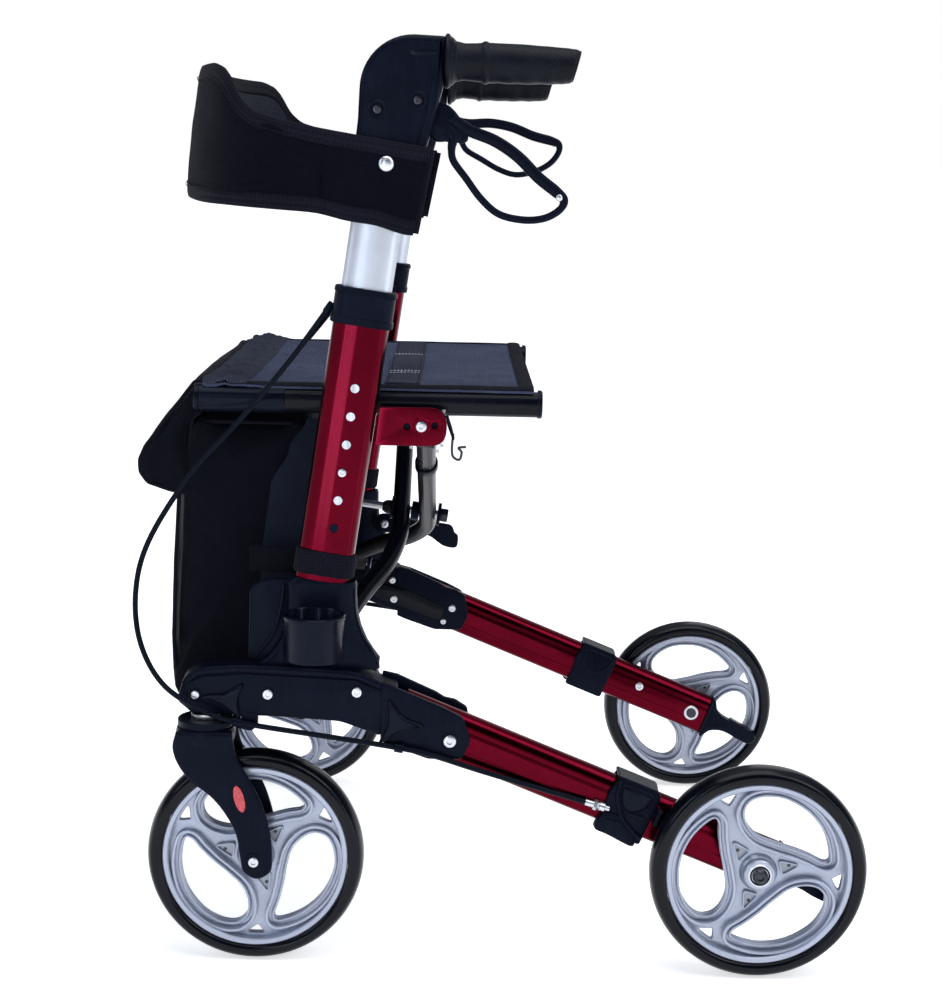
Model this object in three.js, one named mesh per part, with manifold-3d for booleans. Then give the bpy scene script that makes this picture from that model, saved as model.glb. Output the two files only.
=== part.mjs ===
// Folding rollator walker, in millimetres, +Z up, its front towards -X.
// Each side frame is drawn once, with y pointing outwards from the middle plane; the left one is its mirror.
import * as THREE from 'three'
import { mergeVertices } from 'three/addons/utils/BufferGeometryUtils.js'
import Module from 'manifold-3d'

// ---------- driving dimensions ----------
const GAP = 0.3 // left between pieces that touch
const WHEEL_R = 100
const TYRE_WIDTH = 30
const RIM_R = 85.5
const HUB_R = 15
const REAR_WHEEL = { x: 289, y: 284, z: WHEEL_R }
const CASTER_WHEEL = { x: -173.7, y: 262, z: WHEEL_R }
const CASTER_STEM_X = -220.5
const WHEEL_SIDES = 32
const WHEEL_OUTER_Y = 304 // face of the rear axle nut
const REAR_AXLE_R = 6
const CASTER_AXLE_R = 4
const AXLE_RUN = 0.3 // running clearance round an axle
const FORK_BLADE = [19, 25] // inner and outer face, from the caster wheel's middle plane
const STEM_R = 6.5

const POST_Y = 252 // middle plane of the post, handle tube and socket
const POST_TOP = { x: -83, z: 592.5 }
const POST_LEAN = 7.86 * Math.PI / 180 // towards the back
const POST_SIZE = { long: 51, wide: 25 }
const TUBE_SIZE = { long: 45.5, wide: 19.5 }
const POST_LENGTH = 296
const HOLE_PITCH = 25.6
const HOLE_COUNT = 6
const HOLE_R = 3.4
const FIRST_HOLE = 58 // below the post's top, along the post
const LOCKED_HOLE = 3 // the fourth hole from the top holds the height screw
const SEATED = 8 // how far the post reaches up into its collar
const HOUSING_Y = [237, 267]
const SOCKET_Y = [237.6, 266.8]
const BEAM_Y = [237, 273]
const BRACKET_Y = [246, 250]

const LEG_Y = 254
const LEG_SLOPE = 21.9 * Math.PI / 180 // down towards the back
const LEG_SIZE = { high: 46, wide: 25 }
const LEG_POINT = { x: 14, z: 213 } // on the leg's centre line
const LEG_SPAN = [-46, 315] // along the leg from LEG_POINT
const LEG_WALL = 2.5
const CLAMP_AT = 167 // the brake clamp's middle, along the leg from LEG_POINT
const CLAMP_LONG = 46

const GRIP_Y = 248
const GRIP_Z = 822
const LEVER_PIVOT = { x: -26, z: 776 }
const LEVER_WIDTH = 12
const PARKED_TURN = 23.2 * Math.PI / 180 // the left brake is parked
const SHOE_PIVOT = { x: 176, z: 166 }
const SHOE_TURN = -8 * Math.PI / 180 // shoe against the tyre
const SHOE_CLEAR = 2.6 // between a released shoe and its tyre
const SHOE_PIN_R = 3
const LEVER_PIN_R = 2.6
const CABLE_R = 2.5

const RAIL_Y = 224
const RAIL_R = 12
const RAIL_Z = 519
const RAIL_SPAN = [-231, 77]
const BRACE_R = 9
const BRACE_LOW = { x: -105, z: 278 } // lower hinge, at RAIL_Y
const BRACE_RISE = 217.4 // from the lower hinge to the upper one, along the posts' lean
const BRACE_X = { right: -51, left: -24 } // the tube that reaches up to the right, and to the left
const PIN_R = 4
const RUN = 0.4 // running clearance on a hinge pin
const EAR_AT = 12 // from a brace tube's middle to the ears that carry its hinge pin
const EYE_HALF = 9
const EAR_HALF = 2 // half of an ear's thickness

const CUP = { x: -120, y: 296, r: 28, wall: 2.5, low: 295, high: 336 }
const LATCH_Y = [227, 234]
const SEAT = { front: -227, back: 73, thick: 3, lap: 11 } // lap is how far it reaches past a rail's middle
const BAG_HALF = 204
const FLAP_HALF = 206
const FLAP_FRONT = -294
const BAND_Z = [665, 825] // the backrest band is cut from between these heights
const BAND_THICK = 10
const CENTRE_X = (REAR_WHEEL.x + WHEEL_R + FLAP_FRONT) / 2
const CENTRE_Y = (WHEEL_OUTER_Y - CUP.y - CUP.r) / 2

// ---------- materials ----------
function finish(color, roughness, metalness) {
  return new THREE.MeshStandardMaterial({ color, roughness, metalness })
}
const RED = finish(0x7a0b1e, 0.32, 0.75)
const SILVER = finish(0xb9bdc4, 0.38, 0.9)
const BLACK = finish(0x14161b, 0.55, 0)
const BLACK_METAL = finish(0x15171c, 0.35, 0.4)
const RUBBER = finish(0x0c0d10, 0.4, 0)
const RIM_SILVER = finish(0xaab2c0, 0.35, 0.6)
const STEEL = finish(0xc2c6cc, 0.25, 1)
const FABRIC = finish(0x101218, 0.9, 0)

// ---------- joins and cuts ----------
const wasm = await Module()
wasm.setup()

function toSolid(geometry) {
  const bare = geometry.clone()
  bare.deleteAttribute('normal')
  bare.deleteAttribute('uv')
  const merged = mergeVertices(bare, 1e-3)
  const vertProperties = Float32Array.from(merged.attributes.position.array)
  const triVerts = Uint32Array.from(merged.index.array)
  return new wasm.Manifold(new wasm.Mesh({ numProp: 3, vertProperties, triVerts }))
}

function toGeometry(solid) {
  const mesh = solid.getMesh()
  const geometry = new THREE.BufferGeometry()
  geometry.setAttribute('position', new THREE.BufferAttribute(Float32Array.from(mesh.vertProperties), 3))
  geometry.setIndex(new THREE.BufferAttribute(Uint32Array.from(mesh.triVerts), 1))
  return geometry
}

function join(...geometries) {
  return toGeometry(geometries.map(toSolid).reduce((a, b) => a.add(b)))
}

function cut(geometry, ...tools) {
  return toGeometry(tools.map(toSolid).reduce((a, b) => a.subtract(b), toSolid(geometry)))
}

function overlap(a, b) {
  return toGeometry(toSolid(a).intersect(toSolid(b)))
}

// ---------- simple shapes ----------
function outline(points) {
  return new THREE.Shape(points.map(([x, y]) => new THREE.Vector2(x, y)))
}

// A plate drawn in the X-Z plane that fills y from low to high.
function plate(shape, low, high, segments = 6) {
  const geometry = new THREE.ExtrudeGeometry(shape, {
    depth: high - low, bevelEnabled: false, curveSegments: segments,
  })
  return geometry.rotateX(Math.PI / 2).translate(0, high, 0)
}

function box(xs, ys, zs) {
  const geometry = new THREE.BoxGeometry(xs[1] - xs[0], ys[1] - ys[0], zs[1] - zs[0])
  return geometry.translate((xs[0] + xs[1]) / 2, (ys[0] + ys[1]) / 2, (zs[0] + zs[1]) / 2)
}

function pinX(radius, from, to, y, z, sides = 10) {
  const geometry = new THREE.CylinderGeometry(radius, radius, to - from, sides)
  return geometry.rotateZ(Math.PI / 2).translate((from + to) / 2, y, z)
}

function pinY(radius, x, from, to, z, sides = 10) {
  const geometry = new THREE.CylinderGeometry(radius, radius, to - from, sides)
  return geometry.translate(x, (from + to) / 2, z)
}

function pinZ(radius, x, y, from, to, sides = 16) {
  const geometry = new THREE.CylinderGeometry(radius, radius, to - from, sides)
  return geometry.rotateX(Math.PI / 2).translate(x, y, (from + to) / 2)
}

// A section with straight sides and round ends, long in x and wide in y.
function stadium(long, wide) {
  const r = wide / 2
  const half = long / 2 - r
  const shape = new THREE.Shape()
  shape.absarc(half, 0, r, -Math.PI / 2, Math.PI / 2)
  shape.absarc(-half, 0, r, Math.PI / 2, 3 * Math.PI / 2)
  return shape
}

// A bar of stadium section along the post's axis, from one height to another below the post's top.
function leaningBar(long, wide, fromDepth, toDepth) {
  const geometry = new THREE.ExtrudeGeometry(stadium(long, wide), {
    depth: toDepth - fromDepth, bevelEnabled: false, curveSegments: 4,
  })
  return geometry.translate(0, 0, -toDepth).rotateY(POST_LEAN).translate(POST_TOP.x, POST_Y, POST_TOP.z)
}

function pointOnPost(depth) {
  return { x: POST_TOP.x - depth * Math.sin(POST_LEAN), z: POST_TOP.z - depth * Math.cos(POST_LEAN) }
}

// A block drawn level at the origin, turned to the leg's slope and moved to a point along the leg.
function onLeg(geometry, along, y = LEG_Y) {
  const x = LEG_POINT.x + along * Math.cos(LEG_SLOPE)
  const z = LEG_POINT.z - along * Math.sin(LEG_SLOPE)
  return geometry.rotateY(LEG_SLOPE).translate(x, y, z)
}

function roundedBar(length, high, wide, radius) {
  const a = wide / 2 - radius
  const b = high / 2 - radius
  const shape = new THREE.Shape()
  shape.absarc(b, a, radius, 0, Math.PI / 2)
  shape.absarc(-b, a, radius, Math.PI / 2, Math.PI)
  shape.absarc(-b, -a, radius, Math.PI, 3 * Math.PI / 2)
  shape.absarc(b, -a, radius, 3 * Math.PI / 2, 2 * Math.PI)
  const geometry = new THREE.ExtrudeGeometry(shape, { depth: length, bevelEnabled: false, curveSegments: 2 })
  return geometry.translate(0, 0, -length / 2).rotateY(Math.PI / 2)
}

function tubeAlong(points, radius, sides, steps) {
  const path = new THREE.CatmullRomCurve3(points.map((p) => new THREE.Vector3(...p)))
  const shape = new THREE.Shape()
  shape.absarc(0, 0, radius, 0, 2 * Math.PI)
  return new THREE.ExtrudeGeometry(shape, { steps, extrudePath: path, curveSegments: sides / 2 })
}

// ---------- post, handle tube and what sits on them ----------
function makePost() {
  const bar = leaningBar(POST_SIZE.long, POST_SIZE.wide, -SEATED, POST_LENGTH)
  const bore = leaningBar(TUBE_SIZE.long + 2 * GAP, TUBE_SIZE.wide + 2 * GAP, -SEATED - 1, POST_LENGTH + 1)
  const holes = []
  for (let i = 0; i < HOLE_COUNT; i++) {
    const p = pointOnPost(FIRST_HOLE + i * HOLE_PITCH)
    holes.push(pinY(HOLE_R, p.x, POST_Y + 6, POST_Y + POST_SIZE.wide / 2 + 1, p.z, 10))
  }
  return cut(bar, bore, ...holes)
}

function makeHandleTube() {
  return leaningBar(TUBE_SIZE.long, TUBE_SIZE.wide, -164, 172)
}

function makeCollar() {
  const sleeve = leaningBar(POST_SIZE.long + 5, POST_SIZE.wide + 5.4, -30, -1)
  const bore = leaningBar(TUBE_SIZE.long + 2 * GAP, TUBE_SIZE.wide + 2 * GAP, -31, 0)
  const seat = leaningBar(POST_SIZE.long + 2 * GAP, POST_SIZE.wide + 2 * GAP, -SEATED - GAP, 0)
  return cut(sleeve, bore, seat)
}

function makeHeightScrew() {
  const p = pointOnPost(FIRST_HOLE + LOCKED_HOLE * HOLE_PITCH)
  const face = POST_Y + POST_SIZE.wide / 2
  return join(pinY(6, p.x, face + GAP, face + 4, p.z), pinY(2.9, p.x, face - 2.2, face + 1, p.z))
}

function makePostBracket() {
  const shape = outline([[-68, 482], [-22, 482], [-10, 487], [-5, 499.5], [-10, 512], [-22, 517], [-64, 517]])
  const [low, high] = BRACKET_Y
  const holes = [[-41, 499.5], [-16, 501]].map(([x, z]) => pinY(3, x, low - 1, high + 1, z, 8))
  return cut(plate(shape, low, high), ...holes)
}

function makeHandleHousing() {
  const shape = outline([
    [-96, 690], [-43, 687], [-36, 700], [-27.5, 748], [-14, 798], [-14, 842], [-44, 842],
    [-57, 836], [-71, 819], [-80.5, 795], [-85, 761], [-87, 745],
  ])
  const shell = plate(shape, ...HOUSING_Y)
  const spigot = pinX(10, -16, 80, GRIP_Y, GRIP_Z)
  const pocket = leaningBar(TUBE_SIZE.long + 2 * GAP, TUBE_SIZE.wide + 2 * GAP, -166, -80)
  const half = LEVER_WIDTH / 2 + 1.5
  const slot = box([-41, 5], [GRIP_Y - half, GRIP_Y + half], [750, 797])
  const pin = pinY(LEVER_PIN_R, LEVER_PIVOT.x, HOUSING_Y[0] + 1, HOUSING_Y[1] - 1, LEVER_PIVOT.z, 10)
  return join(cut(join(shell, spigot), pocket, slot), pin)
}

function makeGrip() {
  const profile = [
    [10.4, 0], [24, 0], [24, 4], [17, 7], [16.2, 15], [18.6, 27], [19.2, 36], [17.6, 50],
    [18, 70], [18.6, 86], [17, 104], [13.6, 114.5], [0, 116], [0, 96], [10.4, 96], [10.4, 0],
  ]
  const geometry = new THREE.LatheGeometry(profile.map(([r, h]) => new THREE.Vector2(r, h)), 14)
  return geometry.rotateZ(-Math.PI / 2).translate(-13.5, GRIP_Y, GRIP_Z)
}

// Loop lever, drawn released with its pivot at the origin.
function makeBrakeLever() {
  const outer = [
    [-26, 787], [-18, 790], [-8, 790], [46, 786], [80, 777], [112, 765], [118, 757], [112, 745],
    [98, 729], [64, 718], [36, 728], [8, 742], [-8, 755], [-18, 764], [-33, 767], [-37, 776], [-33, 785],
  ]
  const inner = [
    [2, 764], [14, 752], [40, 737], [64, 729], [92, 738], [102, 755], [78, 765], [46, 773], [4, 774],
  ]
  const shape = outline(outer)
  shape.holes.push(new THREE.Path(inner.map(([x, z]) => new THREE.Vector2(x, z))))
  const low = GRIP_Y - LEVER_WIDTH / 2
  const high = GRIP_Y + LEVER_WIDTH / 2
  const bore = pinY(LEVER_PIN_R + RUN, LEVER_PIVOT.x, low - 1, high + 1, LEVER_PIVOT.z, 10)
  const lever = cut(plate(shape, low, high), bore)
  return lever.translate(-LEVER_PIVOT.x, 0, -LEVER_PIVOT.z)
}

// The cable runs from the collar in a free arc, over the nose of the beam and along the leg to its adjuster.
function makeBrakeCable() {
  const route = [
    [-113, 252, 604], [-146, 254, 558], [-191, 257, 503], [-235.5, 259, 452], [-272, 262, 392],
    [-283, 268, 345], [-277, 276, 299], [-254, 281, 261.5], [-213, 281, 237], [-181, 277, 227.5],
    [-107, 277, 217], [-51, 277, 209], [-15, 277, 202], [32, 275, 187], [90, 271, 169], [138, 271, 155.5],
  ]
  return tubeAlong(route, CABLE_R, 8, 34)
}

// ---------- lower side frame ----------
function makePostSocket() {
  const shape = outline([
    [-182, 280.5], [-84, 276.6], [-58, 266], [-78, 306], [-84, 330], [-85, 353], [-145, 356],
    [-169, 356], [-182, 349],
  ])
  const pocket = leaningBar(POST_SIZE.long + 2 * GAP, POST_SIZE.wide + 2 * GAP, 200, POST_LENGTH + GAP)
  return cut(plate(shape, ...SOCKET_Y), pocket)
}

function legBar(extra, from, to) {
  const bar = roundedBar(to - from, LEG_SIZE.high + extra, LEG_SIZE.wide + extra, 8)
  return onLeg(bar, (from + to) / 2)
}

function makeSideBeam() {
  const shape = outline([
    [-245, 243], [-230, 235], [-157, 232], [-97, 228], [-51, 207], [-14, 196], [15, 197], [22, 213],
    [14, 240], [-6, 251], [-48, 268.6], [-58, 265.5], [-84, 276], [-184, 280], [-225, 276],
    [-236, 270], [-243, 255],
  ])
  const body = plate(shape, ...BEAM_Y)
  const lugs = [-1, 1].map((side) => {
    const centre = BRACE_LOW.x + side * EAR_AT
    const xs = [centre - EAR_HALF, centre + EAR_HALF]
    const lug = box(xs, [RAIL_Y - 11, BEAM_Y[0] + 0.4], [BRACE_LOW.z - 16, BRACE_LOW.z + 12])
    return tipped(lug, BRACE_LOW.x, BRACE_LOW.z)
  })
  const straightPin = pinX(PIN_R, BRACE_LOW.x - EAR_AT, BRACE_LOW.x + EAR_AT, RAIL_Y, BRACE_LOW.z)
  const pin = tipped(straightPin, BRACE_LOW.x, BRACE_LOW.z)
  const stemBore = pinZ(STEM_R + RUN, CASTER_STEM_X, CASTER_WHEEL.y, 225, 268)
  return join(cut(body, legBar(2 * GAP, LEG_SPAN[0] - GAP, 60), stemBore), ...lugs, pin)
}

function makeRearLeg() {
  const axleHole = pinY(REAR_AXLE_R + AXLE_RUN, REAR_WHEEL.x, 230, 270, REAR_WHEEL.z)
  return cut(legBar(0, ...LEG_SPAN), legBar(-2 * LEG_WALL, LEG_SPAN[0] - 1, LEG_SPAN[1] + 1), axleHole)
}

function makeBrakeClamp() {
  const block = onLeg(new THREE.BoxGeometry(CLAMP_LONG, 34, 58).translate(0, 1.5, 4), CLAMP_AT)
  const post = pinY(SHOE_PIN_R, SHOE_PIVOT.x, 270, 281, SHOE_PIVOT.z, 10)
  return join(cut(block, legBar(2 * GAP, CLAMP_AT - 60, CLAMP_AT + 60)), post)
}

// Brake shoe, drawn released with its pivot at the origin.
function makeBrakeShoe() {
  const reach = Math.atan2(44.2, -100.3)
  const padR = 7
  const padAt = WHEEL_R + SHOE_CLEAR + padR
  const pad = { x: REAR_WHEEL.x + padAt * Math.cos(reach), z: REAR_WHEEL.z + padAt * Math.sin(reach) }
  const arm = outline([
    [SHOE_PIVOT.x - 7, SHOE_PIVOT.z + 1], [SHOE_PIVOT.x - 3, SHOE_PIVOT.z + 7],
    [SHOE_PIVOT.x + 5, SHOE_PIVOT.z + 6], [pad.x + 5, pad.z + 2], [pad.x + 1, pad.z - 6],
    [pad.x - 6, pad.z - 1],
  ])
  const solid = join(plate(arm, 273.5, 279.5), pinY(padR, pad.x, 274.5, 294, pad.z, 14))
  const shoe = cut(solid, pinY(SHOE_PIN_R + RUN, SHOE_PIVOT.x, 272, 296, SHOE_PIVOT.z, 10))
  return shoe.translate(-SHOE_PIVOT.x, 0, -SHOE_PIVOT.z)
}

function makeEndPlug() {
  const shape = outline([
    [300.4, 70.6], [318, 72], [333, 76], [350, 64], [362, 62], [367, 73], [340, 92], [325, 97], [317.5, 113],
  ])
  return plate(shape, LEG_Y - LEG_SIZE.wide / 2, LEG_Y + LEG_SIZE.wide / 2)
}

function makeCaneCup() {
  const ring = pinZ(CUP.r, CUP.x, CUP.y, CUP.low, CUP.high, 20)
  return cut(ring, pinZ(CUP.r - CUP.wall, CUP.x, CUP.y, CUP.low - 1, CUP.high + 1, 20))
}

// ---------- wheels ----------
function makeTyre() {
  const half = TYRE_WIDTH / 2
  const inner = RIM_R + GAP
  const profile = [
    [inner, -12], [93, -half], [WHEEL_R, -5], [WHEEL_R, 5], [93, half], [inner, 12], [inner, -12],
  ]
  return new THREE.LatheGeometry(profile.map(([r, h]) => new THREE.Vector2(r, h)), WHEEL_SIDES)
}

// One of the three openings between the swirling spokes.
function spokeOpening(start) {
  const path = []
  const low = 30
  const high = 76
  const swirl = 0.85
  const spokeHalf = 7.5
  const steps = 4
  const edge = (r, side) => {
    const turn = start + swirl * (r - low) / (high - low) + side * spokeHalf / r
    const angle = side > 0 ? turn : turn + 2 * Math.PI / 3
    path.push(new THREE.Vector2(r * Math.cos(angle), r * Math.sin(angle)))
  }
  for (let i = 0; i <= steps; i++) edge(low + (high - low) * i / steps, 1)
  const from = start + swirl + spokeHalf / high
  const to = start + swirl + 2 * Math.PI / 3 - spokeHalf / high
  for (let i = 1; i < steps; i++) {
    const angle = from + (to - from) * i / steps
    path.push(new THREE.Vector2(high * Math.cos(angle), high * Math.sin(angle)))
  }
  for (let i = steps; i >= 0; i--) edge(low + (high - low) * i / steps, -1)
  return new THREE.Path(path)
}

function makeRim(hubHalf, boreR) {
  const disc = new THREE.Shape()
  disc.absarc(0, 0, 81, 0, 2 * Math.PI)
  for (let i = 0; i < 3; i++) disc.holes.push(spokeOpening(i * 2 * Math.PI / 3))
  const web = plate(disc, -4.5, 4.5, WHEEL_SIDES / 2)
  const rimProfile = [[79, -12.5], [RIM_R, -12.5], [RIM_R, 12.5], [79, 12.5], [79, -12.5]]
  const ring = new THREE.LatheGeometry(rimProfile.map(([r, h]) => new THREE.Vector2(r, h)), WHEEL_SIDES)
  const hub = pinY(HUB_R, 0, -hubHalf, hubHalf, 0, 14)
  return cut(join(web, ring, hub), pinY(boreR, 0, -hubHalf - 1, hubHalf + 1, 0, 12))
}

function makeRearAxle() {
  const { x, y, z } = REAR_WHEEL
  const inner = LEG_Y - LEG_SIZE.wide / 2 - GAP
  const rod = pinY(REAR_AXLE_R, x, inner - 3.2, y + 18, z)
  const head = pinY(9, x, inner - 5.2, inner, z)
  const nut = pinY(9, x, y + 15.5, WHEEL_OUTER_Y, z)
  return join(rod, head, nut)
}

function makeCasterFork() {
  const blade = outline([
    [-246, 222], [-247, 209], [-243, 193], [-230, 174], [-213, 162], [-200, 144], [-188, 124], [-185, 96],
    [-181, 86], [-171, 82], [-161, 86], [-158, 96], [-159, 127], [-168, 155], [-178, 175],
    [-191, 200], [-194, 222],
  ])
  const y = CASTER_WHEEL.y
  const [near, far] = FORK_BLADE
  const blades = [plate(blade, y - far, y - near), plate(blade, y + near, y + far)]
  const crown = box([-246, -195], [y - 22, y + 22], [204, 222])
  const cup = pinZ(22, CASTER_STEM_X, y, 220, 228)
  const stem = pinZ(STEM_R, CASTER_STEM_X, y, 226, 262)
  const axleHole = pinY(CASTER_AXLE_R + AXLE_RUN, CASTER_WHEEL.x, y - 30, y + 30, CASTER_WHEEL.z)
  return cut(join(...blades, crown, cup, stem), axleHole)
}

function makeCasterAxle() {
  const { x, y, z } = CASTER_WHEEL
  const out = FORK_BLADE[1]
  const rod = pinY(CASTER_AXLE_R, x, y - out - 2, y + out + 2, z)
  const inner = pinY(8, x, y - out - 4, y - out - GAP, z)
  const outer = pinY(8, x, y + out + GAP, y + out + 4, z)
  return join(rod, inner, outer)
}

// ---------- seat rails and brace ----------
// The brace lies in a plane that leans with the posts, so its hinge pins tip down towards the back.
function tipped(geometry, x, z) {
  return geometry.translate(-x, 0, -z).rotateY(POST_LEAN).translate(x, 0, z)
}

// Height of a brace tube's middle at x, a share of the way from its lower hinge to its upper one.
function braceHeight(x, share) {
  const forward = (x - BRACE_LOW.x) * Math.sin(POST_LEAN)
  return BRACE_LOW.z + (share * BRACE_RISE - forward) / Math.cos(POST_LEAN)
}

function makeSeatRail(braceX) {
  const rail = pinX(RAIL_R, ...RAIL_SPAN, RAIL_Y, RAIL_Z, 16)
  const hinge = braceHeight(braceX, 1)
  const ears = [-1, 1].map((side) => {
    const centre = braceX + side * EAR_AT
    const xs = [centre - EAR_HALF, centre + EAR_HALF]
    return tipped(box(xs, [RAIL_Y - 10, RAIL_Y + 10], [hinge - 12, RAIL_Z - 3]), braceX, hinge)
  })
  const pin = pinX(PIN_R, braceX - EAR_AT, braceX + EAR_AT, RAIL_Y, hinge)
  return join(rail, ...ears, tipped(pin, braceX, hinge))
}

function makeRailCap(end) {
  const face = RAIL_SPAN[end]
  const outwards = end === 0 ? -1 : 1
  const edges = [face + outwards * GAP, face + outwards * 4.5].sort((a, b) => a - b)
  return pinX(RAIL_R + 0.6, ...edges, RAIL_Y, RAIL_Z, 16)
}

// A brace tube: straight across the walker, bending forwards to its lower hinge. It rises towards y = side.
function makeBraceTube(braceX, side) {
  const bend = [[0, 1], [0.08, 0.97], [0.2, 0.62], [0.3, 0.24], [0.4, 0.03], [0.5, 0], [0.75, 0], [1, 0]]
  const route = bend.map(([share, forward]) => {
    const x = braceX + forward * (BRACE_LOW.x - braceX)
    return [x, side * RAIL_Y * (2 * share - 1), braceHeight(x, share)]
  })
  const tube = tubeAlong(route, BRACE_R, 12, 14)
  const across = (radius, x, half, y, share) => {
    const z = braceHeight(x, share)
    return tipped(pinX(radius, x - half, x + half, y, z), x, z)
  }
  return cut(
    join(
      tube,
      across(BRACE_R, BRACE_LOW.x, EYE_HALF, -side * RAIL_Y, 0),
      across(BRACE_R, braceX, EYE_HALF, side * RAIL_Y, 1),
    ),
    across(PIN_R + RUN, BRACE_LOW.x, 20, -side * RAIL_Y, 0),
    across(PIN_R + RUN, braceX, 12, side * RAIL_Y, 1),
    across(PIN_R + RUN, braceX, 12, 0, 0.5),
  )
}

function makeBraceBolt() {
  const clear = BRACE_R + GAP + 1.2 // the washers are square to the tipped bolt, the tubes aren't quite
  const x = (BRACE_X.right + BRACE_X.left) / 2
  const z = braceHeight(x, 0.5)
  const bolt = join(
    pinX(PIN_R, -70, -4, 0, z),
    pinX(8, BRACE_X.right + clear, BRACE_X.left - clear, 0, z),
    pinX(7, -71, BRACE_X.right - clear, 0, z),
    pinX(7, BRACE_X.left + clear, -3, 0, z),
  )
  return tipped(bolt, x, z)
}

// The fold latch lies along the inside of the right frame, with its hook at the back.
function makeFoldLatch() {
  const shape = outline([
    [-84, 314], [-76, 312], [-20, 309], [-12, 298], [14, 294], [16, 312], [4, 326], [-40, 328],
    [-76, 333], [-84, 330],
  ])
  return plate(shape, ...LATCH_Y)
}

// ---------- fabric ----------
function makeSeat() {
  const half = RAIL_Y + SEAT.lap
  const under = RAIL_Z + RAIL_R + 2 * GAP
  return box([SEAT.front, SEAT.back], [-half, half], [under, under + SEAT.thick])
}

function makeBackrest() {
  const half = [[-22, 277.5], [-150, 277.5], [-195, 273], [-232, 252], [-254, 205], [-264, 120], [-266, 0]]
  const inner = half.map(([x, y]) => {
    const share = Math.min(1, Math.max(0, (-x - 140) / 70))
    return [x + BAND_THICK * share, y - BAND_THICK]
  })
  inner[inner.length - 1] = [half[half.length - 1][0] + BAND_THICK, 0]
  const outerEdge = [...half, ...half.slice(0, -1).reverse().map(([x, y]) => [x, -y])]
  const innerEdge = [...inner, ...inner.slice(0, -1).reverse().map(([x, y]) => [x, -y])]
  const band = new THREE.ExtrudeGeometry(outline([...outerEdge, ...innerEdge.reverse()]), {
    depth: BAND_Z[1] - BAND_Z[0], bevelEnabled: false,
  })
  const side = outline([
    [-22, 745], [-36, 673], [-119, 692], [-180, 695], [-270, 702], [-270, 816], [-250, 816],
    [-212, 808], [-186, 776], [-137, 765.5],
  ])
  return overlap(band.translate(0, 0, BAND_Z[0]), plate(side, -290, 290))
}

function makeBag() {
  const side = outline([
    [-128, 498], [-240, 498], [-256, 440], [-261, 363], [-262, 287], [-258, 238], [-249, 219],
    [-160, 219], [-128, 240],
  ])
  return plate(side, -BAG_HALF, BAG_HALF)
}

function makeBagFlap() {
  const side = outline([
    [-229, 500], [-236, 526], [-252, 520], [-280, 485], [FLAP_FRONT, 454], [-291, 439], [-280, 432],
    [-262, 433], [-258, 442], [-242, 500],
  ])
  return plate(side, -FLAP_HALF, FLAP_HALF)
}

// ---------- assembly ----------
const walker = new THREE.Group()

function addMesh(group, name, geometry, material, place = {}) {
  const mesh = new THREE.Mesh(geometry, material)
  mesh.name = name
  mesh.position.set(place.x ?? 0, place.y ?? 0, place.z ?? 0)
  mesh.rotation.y = place.turn ?? 0
  group.add(mesh)
}

function addSide(side) {
  const isLeft = side === 'left'
  const group = new THREE.Group()
  group.scale.y = isLeft ? -1 : 1
  const add = (name, geometry, material, place) => {
    addMesh(group, `${name}_${side}`, geometry, material, place)
  }

  add('post', makePost(), RED)
  add('post_bracket', makePostBracket(), RED)
  add('handle_tube', makeHandleTube(), SILVER)
  add('collar', makeCollar(), BLACK)
  add('height_screw', makeHeightScrew(), STEEL)
  add('handle_housing', makeHandleHousing(), BLACK)
  add('grip', makeGrip(), RUBBER)
  add('brake_lever', makeBrakeLever(), BLACK, { ...LEVER_PIVOT, turn: isLeft ? PARKED_TURN : 0 })
  add('brake_cable', makeBrakeCable(), RUBBER)

  add('post_socket', makePostSocket(), BLACK)
  add('side_beam', makeSideBeam(), BLACK)
  add('rear_leg', makeRearLeg(), RED)
  add('brake_clamp', makeBrakeClamp(), BLACK)
  add('brake_shoe', makeBrakeShoe(), BLACK, { ...SHOE_PIVOT, turn: isLeft ? SHOE_TURN : 0 })
  add('end_plug', makeEndPlug(), BLACK)

  add('rear_tyre', makeTyre(), RUBBER, REAR_WHEEL)
  add('rear_rim', makeRim(15, REAR_AXLE_R + AXLE_RUN), RIM_SILVER, REAR_WHEEL)
  add('rear_axle', makeRearAxle(), STEEL)
  add('caster_fork', makeCasterFork(), BLACK)
  add('caster_tyre', makeTyre(), RUBBER, CASTER_WHEEL)
  add('caster_rim', makeRim(17, CASTER_AXLE_R + RUN), RIM_SILVER, CASTER_WHEEL)
  add('caster_axle', makeCasterAxle(), STEEL)

  add('seat_rail', makeSeatRail(BRACE_X[side]), BLACK_METAL)
  add('rail_cap_front', makeRailCap(0), BLACK)
  add('rail_cap_rear', makeRailCap(1), BLACK)
  if (isLeft) add('cane_cup', makeCaneCup(), BLACK)
  if (!isLeft) add('fold_latch', makeFoldLatch(), BLACK)
  walker.add(group)
}

addSide('left')
addSide('right')
addMesh(walker, 'brace_tube_a', makeBraceTube(BRACE_X.right, 1), BLACK_METAL)
addMesh(walker, 'brace_tube_b', makeBraceTube(BRACE_X.left, -1), BLACK_METAL)
addMesh(walker, 'brace_bolt', makeBraceBolt(), STEEL)
addMesh(walker, 'seat', makeSeat(), FABRIC)
addMesh(walker, 'backrest', makeBackrest(), FABRIC)
addMesh(walker, 'bag', makeBag(), FABRIC)
addMesh(walker, 'bag_flap', makeBagFlap(), FABRIC)
walker.position.set(-CENTRE_X, -CENTRE_Y, 0)

export default walker
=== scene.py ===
"""Looks of the folding rollator walker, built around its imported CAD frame."""
import math
import random
import bmesh
import bpy
from mathutils import Matrix, Vector, noise

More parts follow.
